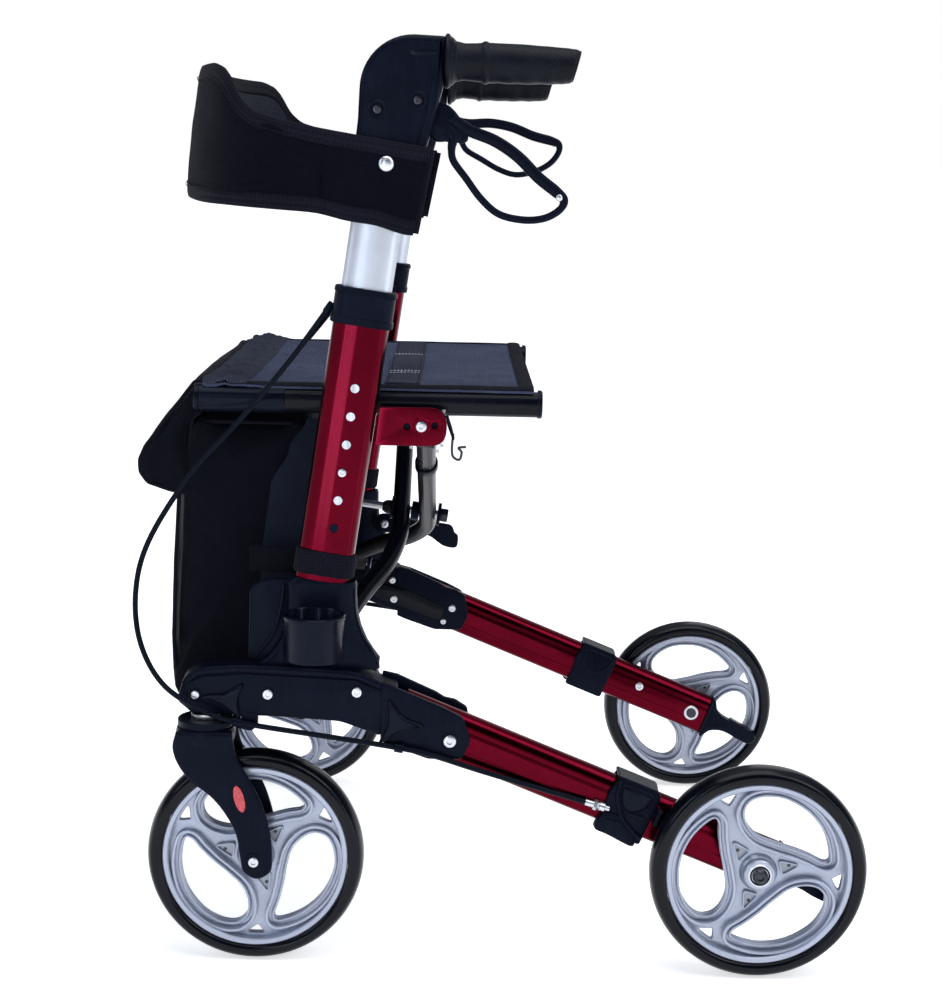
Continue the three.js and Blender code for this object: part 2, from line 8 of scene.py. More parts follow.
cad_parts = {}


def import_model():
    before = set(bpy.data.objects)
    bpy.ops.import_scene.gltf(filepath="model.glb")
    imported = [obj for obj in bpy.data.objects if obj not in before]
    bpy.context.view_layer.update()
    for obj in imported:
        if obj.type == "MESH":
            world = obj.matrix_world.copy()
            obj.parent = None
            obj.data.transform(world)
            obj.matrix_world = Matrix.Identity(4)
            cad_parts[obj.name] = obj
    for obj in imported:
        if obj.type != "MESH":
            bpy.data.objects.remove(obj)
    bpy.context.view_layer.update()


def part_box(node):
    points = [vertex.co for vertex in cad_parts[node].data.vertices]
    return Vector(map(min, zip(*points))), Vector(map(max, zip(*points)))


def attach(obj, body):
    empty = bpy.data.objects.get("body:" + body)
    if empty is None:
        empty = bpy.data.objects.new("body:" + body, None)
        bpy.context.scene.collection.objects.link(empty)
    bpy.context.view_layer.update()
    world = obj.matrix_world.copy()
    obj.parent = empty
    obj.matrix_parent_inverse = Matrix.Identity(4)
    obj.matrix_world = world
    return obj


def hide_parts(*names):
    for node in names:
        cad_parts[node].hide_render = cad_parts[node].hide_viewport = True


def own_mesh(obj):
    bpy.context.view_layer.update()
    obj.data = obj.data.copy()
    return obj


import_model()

random.seed(7)
MM = 0.001
SIGN = {"left": -1, "right": 1}


def middle(node):
    low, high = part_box(node)
    return (Vector(low) + Vector(high)) / 2


# Side drawings are in millimetres: x back along the walker, y out from its middle plane, z up.
# They start from the point on the ground that lies AXLE_X ahead of the rear wheels' axle.
AXLE_X = 289
ORIGIN_X = middle("rear_rim_left").x - AXLE_X * MM
ORIGIN_Y = middle("brace_bolt").y
LEAN = math.radians(7.86)
SLOPE = math.radians(21.9)
POST_TOP = Vector((-83, 252, 592.5))
LEG_POINT = Vector((14, 254, 213))
BRACE_LOW = Vector((-105, 224, 278))
BRACE_RISE = 217.4
GRIP_Y, GRIP_Z = 248, 822
RAIL_Y, RAIL_Z = 224, 519
HOLE_PITCH = 25.6
PARKED_TURN = -math.radians(23.2)
HINGE_AXIS = (math.cos(LEAN), 0, -math.sin(LEAN))


def world(p, side="right"):
    """A side-drawing point of the given side, in the frame's metres."""
    return Vector((ORIGIN_X + p[0] * MM, ORIGIN_Y + SIGN[side] * p[1] * MM, p[2] * MM))


def drawn(node):
    """A node's lowest and highest corners in side-drawing millimetres."""
    low, high = (Vector(c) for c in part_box(node))
    ys = sorted(abs(c.y - ORIGIN_Y) / MM for c in (low, high))
    return (
        Vector(((low.x - ORIGIN_X) / MM, ys[0], low.z / MM)),
        Vector(((high.x - ORIGIN_X) / MM, ys[1], high.z / MM)),
    )


def middle_of(node):
    """A node's middle in side-drawing millimetres."""
    low, high = drawn(node)
    return (low + high) / 2


# ---------- node materials ----------
def add_ramp(nodes, links, fac, stops):
    """A colour ramp after fac; stops are (position, colour) pairs."""
    node = nodes.new("ShaderNodeValToRGB")
    while len(node.color_ramp.elements) < len(stops):
        node.color_ramp.elements.new(0.5)
    for element, (position, color) in zip(node.color_ramp.elements, stops):
        element.position = position
        element.color = (*color, 1)
    links.new(fac, node.inputs["Fac"])
    return node.outputs["Color"]


class Look:
    """A node material and short ways to add detail to it."""

    def __init__(self, name, color, roughness, metallic=0.0, **sockets):
        self.material = bpy.data.materials.new(name)
        self.material.use_nodes = True
        self.nodes = self.material.node_tree.nodes
        self.links = self.material.node_tree.links
        self.shader = self.nodes["Principled BSDF"]
        self.shader.inputs["Roughness"].default_value = roughness
        self.shader.inputs["Metallic"].default_value = metallic
        self.shader.inputs["Base Color"].default_value = (*color, 1)
        for key, value in sockets.items():
            self.shader.inputs[key.replace("_", " ")].default_value = value
        self.color, self.roughness = color, roughness
        self.normal = None

    def place(self, scale=(1, 1, 1), turn=(0, 0, 0), attribute=None):
        if attribute:
            source = self.nodes.new("ShaderNodeAttribute")
            source.attribute_name = attribute
            out = source.outputs["Vector"]
        else:
            out = self.nodes.new("ShaderNodeTexCoord").outputs["Object"]
        mapping = self.nodes.new("ShaderNodeMapping")
        mapping.inputs["Scale"].default_value = scale
        mapping.inputs["Rotation"].default_value = turn
        self.links.new(out, mapping.inputs["Vector"])
        return mapping.outputs["Vector"]

    def noise(self, size, at, detail=4.0, rough=0.6):
        node = self.nodes.new("ShaderNodeTexNoise")
        node.inputs["Scale"].default_value = 1 / size
        node.inputs["Detail"].default_value = detail
        node.inputs["Roughness"].default_value = rough
        self.links.new(at, node.inputs["Vector"])
        return node.outputs["Fac"]

    def cells(self, size, at):
        node = self.nodes.new("ShaderNodeTexVoronoi")
        node.inputs["Scale"].default_value = 1 / size
        self.links.new(at, node.inputs["Vector"])
        return node.outputs["Distance"]

    def wave(self, size, at, axis="X", bend=0.0):
        node = self.nodes.new("ShaderNodeTexWave")
        node.bands_direction = axis
        node.inputs["Scale"].default_value = 1 / (size * 3.1416)
        node.inputs["Distortion"].default_value = bend
        self.links.new(at, node.inputs["Vector"])
        return node.outputs["Fac"]

    def maths(self, operation, a, b):
        node = self.nodes.new("ShaderNodeMath")
        node.operation = operation
        for socket, value in zip(node.inputs, (a, b)):
            if isinstance(value, (int, float)):
                socket.default_value = value
            else:
                self.links.new(value, socket)
        return node.outputs["Value"]

    def ramp(self, fac, stops):
        return add_ramp(self.nodes, self.links, fac, stops)

    def paint(self, fac, dark, light, low=0.35, high=0.65):
        """Colour between dark and light shares of the base colour."""
        shade = [tuple(min(1, c * share) for c in self.color) for share in (dark, light)]
        color = self.ramp(fac, [(low, shade[0]), (high, shade[1])])
        self.links.new(color, self.shader.inputs["Base Color"])
        return self

    def polish(self, fac, spread):
        """Roughness that follows fac, spread about its own value."""
        scaled = self.maths("MULTIPLY", fac, 2 * spread)
        rough = self.maths("ADD", scaled, self.roughness - spread)
        self.links.new(rough, self.shader.inputs["Roughness"])
        return self

    def bump(self, fac, depth, strength=1.0):
        node = self.nodes.new("ShaderNodeBump")
        node.inputs["Distance"].default_value = depth
        node.inputs["Strength"].default_value = strength
        self.links.new(fac, node.inputs["Height"])
        if self.normal:
            self.links.new(self.normal, node.inputs["Normal"])
        self.normal = node.outputs["Normal"]
        self.links.new(self.normal, self.shader.inputs["Normal"])
        return self


def anodised(name, turn):
    look = Look(name, (0.082, 0.0003, 0.007), 0.17, 1.0, Coat_Weight=0.05, Coat_Roughness=0.1)
    drawn_lines = look.noise(0.0016, look.place((1, 1, 0.03), (0, turn, 0)))
    flakes = look.noise(0.0007, look.place())
    clouds = look.noise(0.06, look.place())
    look.paint(look.maths("ADD", look.maths("MULTIPLY", flakes, 0.5), look.maths("MULTIPLY", clouds, 0.5)),
               0.75, 1.3)
    look.polish(clouds, 0.05)
    return look.bump(drawn_lines, 0.00003).bump(flakes, 0.00002).material


def satin_metal(name, color, roughness, turn=0.0, grain=0.0012):
    look = Look(name, color, roughness, 1.0)
    lines = look.noise(grain, look.place((1, 1, 0.02), (0, turn, 0)))
    smudges = look.noise(0.05, look.place())
    look.paint(smudges, 0.92, 1.04).polish(smudges, 0.06)
    return look.bump(lines, 0.00003).material


def moulded(name, color=(0.0024, 0.0032, 0.0085), roughness=0.36, grain=0.0006, depth=0.00006,
            specular=0.085):
    look = Look(name, color, roughness, Specular_IOR_Level=specular, Specular_Tint=(0.62, 0.76, 1, 1))
    fine = look.cells(grain, look.place())
    scuffs = look.noise(0.03, look.place(), 6.0)
    streaks = look.noise(0.004, look.place((1, 1, 0.2)), 3.0)
    look.paint(look.maths("MULTIPLY", scuffs, streaks), 0.8, 1.5, 0.15, 0.42).polish(scuffs, 0.09)
    return look.bump(fine, depth, 0.7).bump(scuffs, 0.0002, 0.3).material


def powder_coat(name, color, roughness):
    look = Look(name, color, roughness, 0.0, Specular_IOR_Level=0.09, Coat_Weight=0.08, Coat_Roughness=0.16)
    peel = look.noise(0.0022, look.place())
    haze = look.noise(0.04, look.place())
    look.paint(haze, 0.8, 1.3).polish(haze, 0.07)
    return look.bump(peel, 0.00008, 0.5).material


def tyre_rubber():
    look = Look("tyre_rubber", (0.0016, 0.0021, 0.0046), 0.22, Specular_IOR_Level=0.13, Coat_Weight=0.09,
                Coat_Roughness=0.08)
    scuffs = look.noise(0.012, look.place(), 8.0, 0.7)
    dust = look.noise(0.05, look.place(), 6.0)
    look.paint(dust, 0.8, 1.6, 0.4, 0.7).polish(scuffs, 0.1)
    return look.bump(scuffs, 0.0001, 0.5).material


def rim_paint():
    look = Look("rim_silver", (0.37, 0.4, 0.49), 0.33, 0.6, Coat_Weight=0.14, Coat_Roughness=0.18)
    flakes = look.noise(0.0009, look.place(), 2.0)
    clouds = look.noise(0.03, look.place(), 5.0)
    look.paint(look.maths("ADD", look.maths("MULTIPLY", flakes, 0.6), look.maths("MULTIPLY", clouds, 0.4)),
               0.86, 1.1)
    return look.polish(clouds, 0.05).bump(clouds, 0.00004, 0.4).material


def grip_rubber():
    look = Look("grip_rubber", (0.0026, 0.0032, 0.0066), 0.42, Specular_IOR_Level=0.1)
    pebbles = look.cells(0.0019, look.place())
    wear = look.noise(0.02, look.place(), 6.0)
    look.paint(wear, 0.8, 1.7).polish(wear, 0.1)
    return look.bump(pebbles, 0.0003, 0.9).material


def weave(name, color, pitch, depth, roughness=0.85, attribute="cloth", sheen=0.025):
    """Plain weave: warp and weft humps that take turns on top."""
    look = Look(name, color, roughness, Specular_IOR_Level=0.05, Sheen_Weight=sheen, Sheen_Roughness=0.45)
    at = look.place(attribute=attribute)
    warp = look.wave(pitch, at, "X", 0.3)
    weft = look.wave(pitch, at, "Y", 0.3)
    checks = look.maths("MULTIPLY", warp, weft)
    slubs = look.noise(pitch * 2.2, look.place((1, 0.15, 1), attribute=attribute), 3.0)
    fading = look.noise(0.05, look.place(), 5.0)
    tone = look.maths("ADD", look.maths("MULTIPLY", checks, 0.55), look.maths("MULTIPLY", fading, 0.45))
    look.paint(tone, 0.65, 1.8, 0.2, 0.75).polish(slubs, 0.08)
    return look.bump(checks, depth).bump(slubs, depth * 0.7, 0.6).material


def thread(name, color, roughness=0.6, sheen=0.2, specular=0.5):
    look = Look(name, color, roughness, Sheen_Weight=sheen, Specular_IOR_Level=specular)
    twist = look.wave(0.0007, look.place((1, 1, 1), (0.5, 0.5, 0.3)), "DIAGONAL")
    return look.paint(twist, 0.75, 1.2, 0.2, 0.8).bump(twist, 0.0001).material


def reflector_lens():
    look = Look("reflector_lens", (0.62, 0.012, 0.03), 0.18, Coat_Weight=0.8, Coat_Roughness=0.05)
    prisms = look.cells(0.0022, look.place())
    return look.paint(prisms, 1.15, 0.6, 0.1, 0.8).bump(prisms, 0.0006).material


RED_POST = anodised("red_anodised_post", -LEAN)
RED_LEG = anodised("red_anodised_leg", math.pi / 2 - SLOPE)
SILVER = satin_metal("satin_aluminium", (0.5, 0.53, 0.59), 0.36, -LEAN)
STEEL = satin_metal("bright_steel", (0.6, 0.61, 0.64), 0.3, 0.0, 0.003)
DARK_STEEL = satin_metal("dark_steel", (0.05, 0.052, 0.06), 0.3, 0.0, 0.003)
PLASTIC = moulded("black_plastic")
GLOSSY = moulded("black_gloss_plastic", (0.0026, 0.0033, 0.0078), 0.2, 0.0012, 0.00002, 0.12)
PALE_PLUG = moulded("pale_plug", (0.6, 0.61, 0.65), 0.4, 0.0006, 0.00006, 0.4)
BLACK_METAL = powder_coat("black_metal", (0.0027, 0.0031, 0.0068), 0.26)
GREY_METAL = powder_coat("grey_metal", (0.02, 0.019, 0.022), 0.3)
TYRE = tyre_rubber()
RIM = rim_paint()
# A darker silver for the hub pockets' floors: painted shade of the recess, not a different finish.
RIM_PAINTED_SHADE = satin_metal("rim_recess_painted_shade", (0.3, 0.32, 0.37), 0.5)
GRIP = grip_rubber()
JACKET = moulded("cable_jacket", (0.0024, 0.003, 0.006), 0.42, 0.0009, 0.00003, 0.1)
SEAT_CLOTH = weave("seat_fabric", (0.056, 0.066, 0.112), 0.0021, 0.0008)
PAD_CLOTH = weave("padded_fabric", (0.0021, 0.0024, 0.0062), 0.0014, 0.0005)
LINING = weave("lining_mesh", (0.016, 0.018, 0.028), 0.0017, 0.0005)
BAG_CLOTH = weave("bag_fabric", (0.0019, 0.0024, 0.0064), 0.001, 0.0003, 0.6)
# The side panels' lighter blue-grey is partly the nylon's own tone and partly a painted sheen.
GUSSET_TONE_AND_SHEEN = weave("gusset_nylon_and_painted_sheen", (0.0075, 0.0105, 0.021), 0.0007, 0.0002, 0.5)
BINDING = weave("binding_tape", (0.0062, 0.0064, 0.0115), 0.0022, 0.0005, 0.85)
STRAP = weave("strap_webbing", (0.03, 0.034, 0.052), 0.0024, 0.0007, 0.8)
SILVER_THREAD = thread("silver_thread", (0.5, 0.52, 0.58))
DARK_THREAD = thread("dark_thread", (0.008, 0.0085, 0.014), 0.7, 0.02, 0.08)
LENS = reflector_lens()


# ---------- pieces ----------
def add_piece(name, points, faces, material, body, side="right", sharp=32, cloth=None, stands_for=()):
    """A closed piece from side-drawing points. cloth holds each point's place on the flat fabric, in m."""
    mesh = bpy.data.meshes.new(name)
    mesh.from_pydata([world(p, side) for p in points], [], faces)
    if cloth:
        attribute = mesh.attributes.new("cloth", "FLOAT_VECTOR", "POINT")
        for item, (u, v) in zip(attribute.data, cloth):
            item.vector = (u, v, 0)
    work = bmesh.new()
    work.from_mesh(mesh)
    bmesh.ops.recalc_face_normals(work, faces=work.faces)
    work.to_mesh(mesh)
    work.free()
    mesh.shade_smooth()
    mesh.set_sharp_from_angle(angle=math.radians(sharp))
    mesh.materials.append(material)
    obj = bpy.data.objects.new(name, mesh)
    bpy.context.scene.collection.objects.link(obj)
    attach(obj, body)
    if stands_for:
        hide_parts(*stands_for)
    return obj


def loft_faces(rows, size, ends="capped"):
    """Faces over rows loops of size points each. Their ends are capped, open, or joined to each other."""
    faces = []
    for i in range(rows if ends == "joined" else rows - 1):
        j = (i + 1) % rows
        for k in range(size):
            n = (k + 1) % size
            faces.append((i * size + k, i * size + n, j * size + n, j * size + k))
    if ends == "capped":
        faces += [list(range(size))[::-1], list(range((rows - 1) * size, rows * size))]
    return faces


def add_loft(name, loops, material, body, side="right", ends="capped", **more):
    """A piece whose skin runs over loops that all have the same number of points."""
    points = [p for loop in loops for p in loop]
    return add_piece(name, points, loft_faces(len(loops), len(loops[0]), ends), material, body, side, **more)


def sheet_faces(rows, columns):
    """Faces of a thin closed sheet: a grid of points on one side, then the same grid on the other."""
    size = rows * columns
    faces = []
    for i in range(rows - 1):
        for j in range(columns - 1):
            a = i * columns + j
            faces.append((a, a + 1, a + columns + 1, a + columns))
            faces.append((size + a, size + a + columns, size + a + columns + 1, size + a + 1))
    edge = list(range(columns)) + [i * columns + columns - 1 for i in range(1, rows)]
    edge += [(rows - 1) * columns + j for j in range(columns - 2, -1, -1)]
    edge += [i * columns for i in range(rows - 2, 0, -1)]
    for a, b in zip(edge, edge[1:] + edge[:1]):
        faces.append((a, a + size, b + size, b))
    return faces


def curve_through(points, per_span=6, closed=False):
    """A smooth curve through points, as a list of points (Catmull-Rom)."""
    pts = [Vector(p) for p in points]
    count = len(pts)
    out = []
    for i in range(count if closed else count - 1):
        if closed:
            a, b, c, d = (pts[(i + k) % count] for k in (-1, 0, 1, 2))
        else:
            b, c = pts[i], pts[i + 1]
            a = pts[i - 1] if i else 2 * b - c
            d = pts[i + 2] if i + 2 < count else 2 * c - b
        for k in range(per_span):
            t = k / per_span
            bend, twist = 2 * a - 5 * b + 4 * c - d, 3 * b - a - 3 * c + d
            out.append(0.5 * (2 * b + (c - a) * t + bend * t * t + twist * t**3))
    if not closed:
        out.append(pts[-1])
    return out


def fillet(points, radius, steps=5):
    """A closed outline with its corners rounded."""
    pts = [Vector(p) for p in points]
    radii = radius if isinstance(radius, (list, tuple)) else [radius] * len(pts)
    out = []
    for i, (p, r) in enumerate(zip(pts, radii)):
        before, after = pts[i - 1] - p, pts[(i + 1) % len(pts)] - p
        half = before.angle(after) / 2
        reach = min(r / math.tan(half), before.length * 0.48, after.length * 0.48)
        start, end = p + before.normalized() * reach, p + after.normalized() * reach
        for k in range(steps + 1):
            t = k / steps
            out.append((1 - t) ** 2 * start + 2 * t * (1 - t) * p + t * t * end)
    return out


def plate(name, outline, low, high, material, body, side="right", holes=(), rounding=1.5, turn=None, **more):
    """A flat piece drawn in x and z with rounded edges, from y low to high."""
    curve = bpy.data.curves.new(name, "CURVE")
    curve.dimensions = "2D"
    curve.fill_mode = "BOTH"
    curve.extrude = (high - low) / 2 - rounding
    curve.bevel_depth = rounding
    curve.bevel_resolution = 2
    curve.offset = -rounding
    for loop in (outline, *holes):
        spline = curve.splines.new("POLY")
        spline.points.add(len(loop) - 1)
        for point, p in zip(spline.points, loop):
            point.co = (p[0], p[1], 0, 1)
        spline.use_cyclic_u = True
    obj = bpy.data.objects.new(name, curve)
    bpy.context.scene.collection.objects.link(obj)
    shape = bpy.data.meshes.new_from_object(obj.evaluated_get(bpy.context.evaluated_depsgraph_get()))
    bpy.data.objects.remove(obj)
    work = bmesh.new()
    work.from_mesh(shape)
    bmesh.ops.remove_doubles(work, verts=work.verts, dist=1e-4)
    work.verts.index_update()
    points = [Vector((v.co.x, (low + high) / 2 + v.co.z, v.co.y)) for v in work.verts]
    faces = [[v.index for v in f.verts] for f in work.faces]
    work.free()
    if turn:
        points = [turn(p) for p in points]
    return add_piece(name, points, faces, material, body, side, **more)


def lathe(name, profile, centre, axis, material, body, side="right", segments=48, **more):
    """A turned piece. profile holds (radius, height along axis); it starts and ends on the axis or closes."""
    axis = Vector(axis).normalized()
    across = axis.orthogonal().normalized()
    beyond = axis.cross(across)
    points, rings = [], []
    for r, h in profile:
        base = Vector(centre) + axis * h
        if r < 1e-6:
            rings.append([len(points)] * segments)
            points.append(base)
            continue
        rings.append(list(range(len(points), len(points) + segments)))
        for k in range(segments):
            angle = 2 * math.pi * k / segments
            points.append(base + r * (math.cos(angle) * across + math.sin(angle) * beyond))
    if profile[0] == profile[-1] and profile[0][0] > 0:
        del points[rings[-1][0]:]
        rings[-1] = rings[0]
    faces = []
    for a, b in zip(rings, rings[1:]):
        for k in range(segments):
            n = (k + 1) % segments
            face = list(dict.fromkeys((a[k], a[n], b[n], b[k])))
            if len(face) > 2:
                faces.append(face)
    return add_piece(name, points, faces, material, body, side, **more)


def sweep(name, path, section, material, body, side="right", up=(0, 0, 1), scale=None, closed=False, **more):
    """A section drawn in (across, up) carried along a path, with optional scale per path point."""
    count = len(path)
    loops, flat, travelled = [], [], 0.0
    for i, p in enumerate(path):
        before = path[i - 1] if i or closed else p
        after = path[(i + 1) % count] if i + 1 < count or closed else p
        along = (Vector(after) - Vector(before)).normalized()
        across = along.cross(Vector(up)).normalized()
        rise = across.cross(along)
        size = scale(i / (count - 1)) if scale else (1, 1)
        if i:
            travelled += (Vector(p) - Vector(path[i - 1])).length
        loops.append([Vector(p) + across * a * size[0] + rise * b * size[1] for a, b in section])
        flat += [(travelled * MM, k * MM * 2) for k in range(len(section))]
    ends = "joined" if closed else "capped"
    return add_loft(name, loops, material, body, side, ends, cloth=flat, **more)


def ring(radius, sides=16, high=None):
    """A circle's outline, or an ellipse's if high is given."""
    high = radius if high is None else high
    angles = [2 * math.pi * k / sides for k in range(sides)]
    return [(radius * math.cos(a), high * math.sin(a)) for a in angles]


def bar_section(long, wide, radius, steps=6):
    """Rounded rectangle, long across and wide up."""
    out = []
    for corner, (sx, sy) in enumerate(((1, 1), (-1, 1), (-1, -1), (1, -1))):
        for k in range(steps + 1):
            angle = math.pi / 2 * (corner + k / steps)
            x = sx * (long / 2 - radius) + radius * math.cos(angle)
            out.append((x, sy * (wide / 2 - radius) + radius * math.sin(angle)))
    return out


def screw(name, at, outward, radius, body, side, material=STEEL, proud=2.2, sunk=0.6, recess=0.45):
    """A pan-head screw with a hexagon socket; outward is its axis."""
    edge = radius * 0.9
    profile = [
        (0, -sunk - 1), (radius * 0.98, -sunk - 1), (radius, proud * 0.35), (edge, proud * 0.8),
        (radius * 0.6, proud),
        (radius * recess, proud), (radius * recess * 0.92, proud * 0.35), (0, proud * 0.3),
    ]
    return lathe(name, profile, at, outward, material, body, side, segments=24)


def washer_stud(name, at, outward, radius, body, side, material=STEEL):
    """A domed rivet."""
    profile = [(0, -1), (radius, -1), (radius, 0.4)]
    for k in range(1, 7):
        angle = math.pi / 2 * k / 6
        profile.append((radius * math.cos(angle) if k < 6 else 0, 0.4 + radius * 0.45 * math.sin(angle)))
    return lathe(name, profile, at, outward, material, body, side, segments=28)


OUT = (0, 1, 0)


def on_post(depth, across=0.0, out=0.0):
    """A point on the post: depth below its top, across it towards the back, out from its plane."""
    along = Vector((-math.sin(LEAN), 0, -math.cos(LEAN)))
    back = Vector((math.cos(LEAN), 0, -math.sin(LEAN)))
    return POST_TOP + along * depth + back * across + Vector((0, out, 0))


def on_leg(along, up=0.0, out=0.0):
    """A point on the rear leg: along its axis from LEG_POINT, up square to it, out from its plane."""
    ahead = Vector((math.cos(SLOPE), 0, -math.sin(SLOPE)))
    rise = Vector((math.sin(SLOPE), 0, math.cos(SLOPE)))
    return LEG_POINT + ahead * along + rise * up + Vector((0, out, 0))


# ---------- upright: post, handle tube, collar ----------
def crowned_section(long, wide, power=3.0, steps=56):
    """An extruded tube's section: a superellipse, so its broad faces are slightly crowned."""
    out = []
    for k in range(steps):
        c, s = math.cos(2 * math.pi * k / steps), math.sin(2 * math.pi * k / steps)
        x = long / 2 * math.copysign(abs(c) ** (2 / power), c)
        out.append((x, wide / 2 * math.copysign(abs(s) ** (2 / power), s)))
    return out


def ridged_section(long, wide, ridge=-10.4, rise=0.9, ramp=8.0, back=8.5):
    """An extruded tube's section: a round front, a low ramp up from ridge, a flat face and a tighter back."""
    half, high, low = long / 2, wide / 2, wide / 2 - rise
    top = []
    for k in range(9):
        angle = math.pi / 2 * k / 8
        top.append((half - back + back * math.cos(angle), high * math.sin(angle)))
    top += [(ridge + ramp + 0.4, high), (ridge + ramp - 0.4, high - 0.09)]
    top += [(ridge + 0.8, low + 0.12)]
    for k in range(10):
        angle = math.pi / 2 * (1 + k / 10)
        top.append((ridge + (half + ridge) * math.cos(angle), low * math.sin(angle)))
    bottom = [(x, -y) for x, y in top[:0:-1]]
    return top + [(-half, 0)] + bottom


def tube_with_bore(name, start, end, section, inner, material, body, side, **more):
    """A straight open tube between two points, with its wall."""
    along = (end - start).normalized()
    across = along.cross(Vector((0, 1, 0))).normalized()
    rise = Vector((0, 1, 0))
    lip = 0.6
    loops = []
    for section_, shrink, at in (
        (section, 0, start + along * lip), (section, 0, end - along * lip), (section, lip, end),
        (inner, 0, end),
        (inner, 0, start), (section, lip, start),
    ):
        trimmed = [(a - math.copysign(shrink, a), b - math.copysign(shrink, b)) for a, b in section_]
        loops.append([at + across * a + rise * b for a, b in trimmed])
    return add_loft(name, loops, material, body, side, "joined", **more)


def make_upright(side):
    body, handle = f"{side}_frame", f"{side}_handle"
    outer = ridged_section(51, 25)
    inner = [(a * 0.91, b * 0.82) for a, b in outer]
    tube_with_bore(f"post_tube_{side}", on_post(-8), on_post(296), outer, inner, RED_POST, body, side,
                   sharp=40,
                   stands_for=[f"post_{side}"])
    thin, bore = crowned_section(45.5, 19.5, 2.25), crowned_section(41.4, 15.4, 2.25)
    tube_with_bore(f"silver_tube_{side}", on_post(-164), on_post(172), thin, bore, SILVER, handle, side,
                   sharp=40,
                   stands_for=[f"handle_tube_{side}"])
    path = [on_post(d, 18.5, 12.3) for d in (-6, 295)]
    sweep(f"post_bead_{side}", path, ring(0.8, 8, 0.45), RED_POST, body, side, up=(0, 1, 0))
    make_collar(side, body)
    for i in range(6):
        make_hole(side, body, i, on_post(58 + i * HOLE_PITCH, 3.5, 12.4))


def make_hole(side, body, index, at):
    """A height hole with its ring and plug, the height screw, or an open hole whose dark inside is a
    painted-shade black disc.
    """
    rim = [(3.9, -0.6), (4.6, -0.6), (4.6, 0.15), (4.2, 0.3), (3.9, 0.1), (3.9, -0.6)]
    lathe(f"hole_rim_{side}_{index}", rim, at, OUT, RED_POST, body, side, segments=28)
    if index == 3:
        screw(f"height_screw_head_{side}", at, OUT, 4.0, body, side, proud=1.6)
        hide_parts(f"height_screw_{side}")
        return
    open_hole = index == 5
    depth = 0.12 if open_hole else 0.35
    # In the open hole the black disc is painted shade: it stands for the dark inside of the tube, not a plug.
    disc = [(0, -0.9), (3.95, -0.9), (3.95, depth), (3.2, depth + 0.1), (0, depth + 0.1)]
    lathe(f"hole_plug_{side}_{index}", disc, at, OUT, PLASTIC if open_hole else PALE_PLUG, body, side,
          segments=28)


def make_collar(side, body):
    """A two-step clamp collar with a lip at its top and bottom."""
    inner = bar_section(46.3, 20.3, 9.6, 8)
    levels = [(-30.5, 0), (-29.5, 1.2), (-26, 1.5), (-25, 0.6), (-4.5, 0.6), (-3.5, 1.6), (1.5, 1.5),
              (2.5, 0.3)]
    loops = [[on_post(depth, a, b) for a, b in bar_section(53.5 + 2 * grow, 27.5 + 2 * grow, 12.5, 8)]
             for depth, grow in levels]
    seat = bar_section(51.6, 25.6, 11.8, 8)
    for depth, shape in ((2.5, seat), (-8.4, seat), (-8.4, inner), (-30.5, inner)):
        loops.append([on_post(depth, a, b) for a, b in shape])
    add_loft(f"clamp_collar_{side}", loops, PLASTIC, body, side, "joined", stands_for=[f"collar_{side}"])


def make_bracket(side):
    body = f"{side}_frame"
    outline = fillet([(-70, 482), (-5, 482), (-5, 517), (-66, 517)], [1, 16, 16, 1], 8)
    holes = [[(x + 3 * math.cos(a / 9 * math.pi), z + 3 * math.sin(a / 9 * math.pi)) for a in range(18)]
             for x, z in ((-41, 499.5), (-16, 501))]
    plate(f"red_plate_{side}", outline, 246, 250, RED_POST, body, side, holes=holes, rounding=0.7,
          stands_for=[f"post_bracket_{side}"])
    for i, (x, z) in enumerate(((-41, 499.5), (-16, 501))):
        back = [(0, 0), (3.6, 0), (3.6, 1), (0, 1)]
        lathe(f"plate_hole_back_{side}_{i}", back, (x, 244.6, z), OUT, PLASTIC, body, side, segments=24)
    washer = [(0, -0.5), (8, -0.5), (8, 0.4), (7.4, 0.8), (0, 0.8)]
    lathe(f"plate_washer_{side}", washer, (-28, 250, 500), OUT, RED_POST, body, side)
    screw(f"plate_bolt_{side}", (-28, 250.9, 500), OUT, 5.2, body, side, proud=2.8)
    nut = [(0, -7), (6, -7), (6.6, -6.4), (6.6, 0.3), (0, 0.3)]
    lathe(f"plate_nut_{side}", nut, (-28, 246, 500), OUT, STEEL, body, side, segments=6, sharp=20)


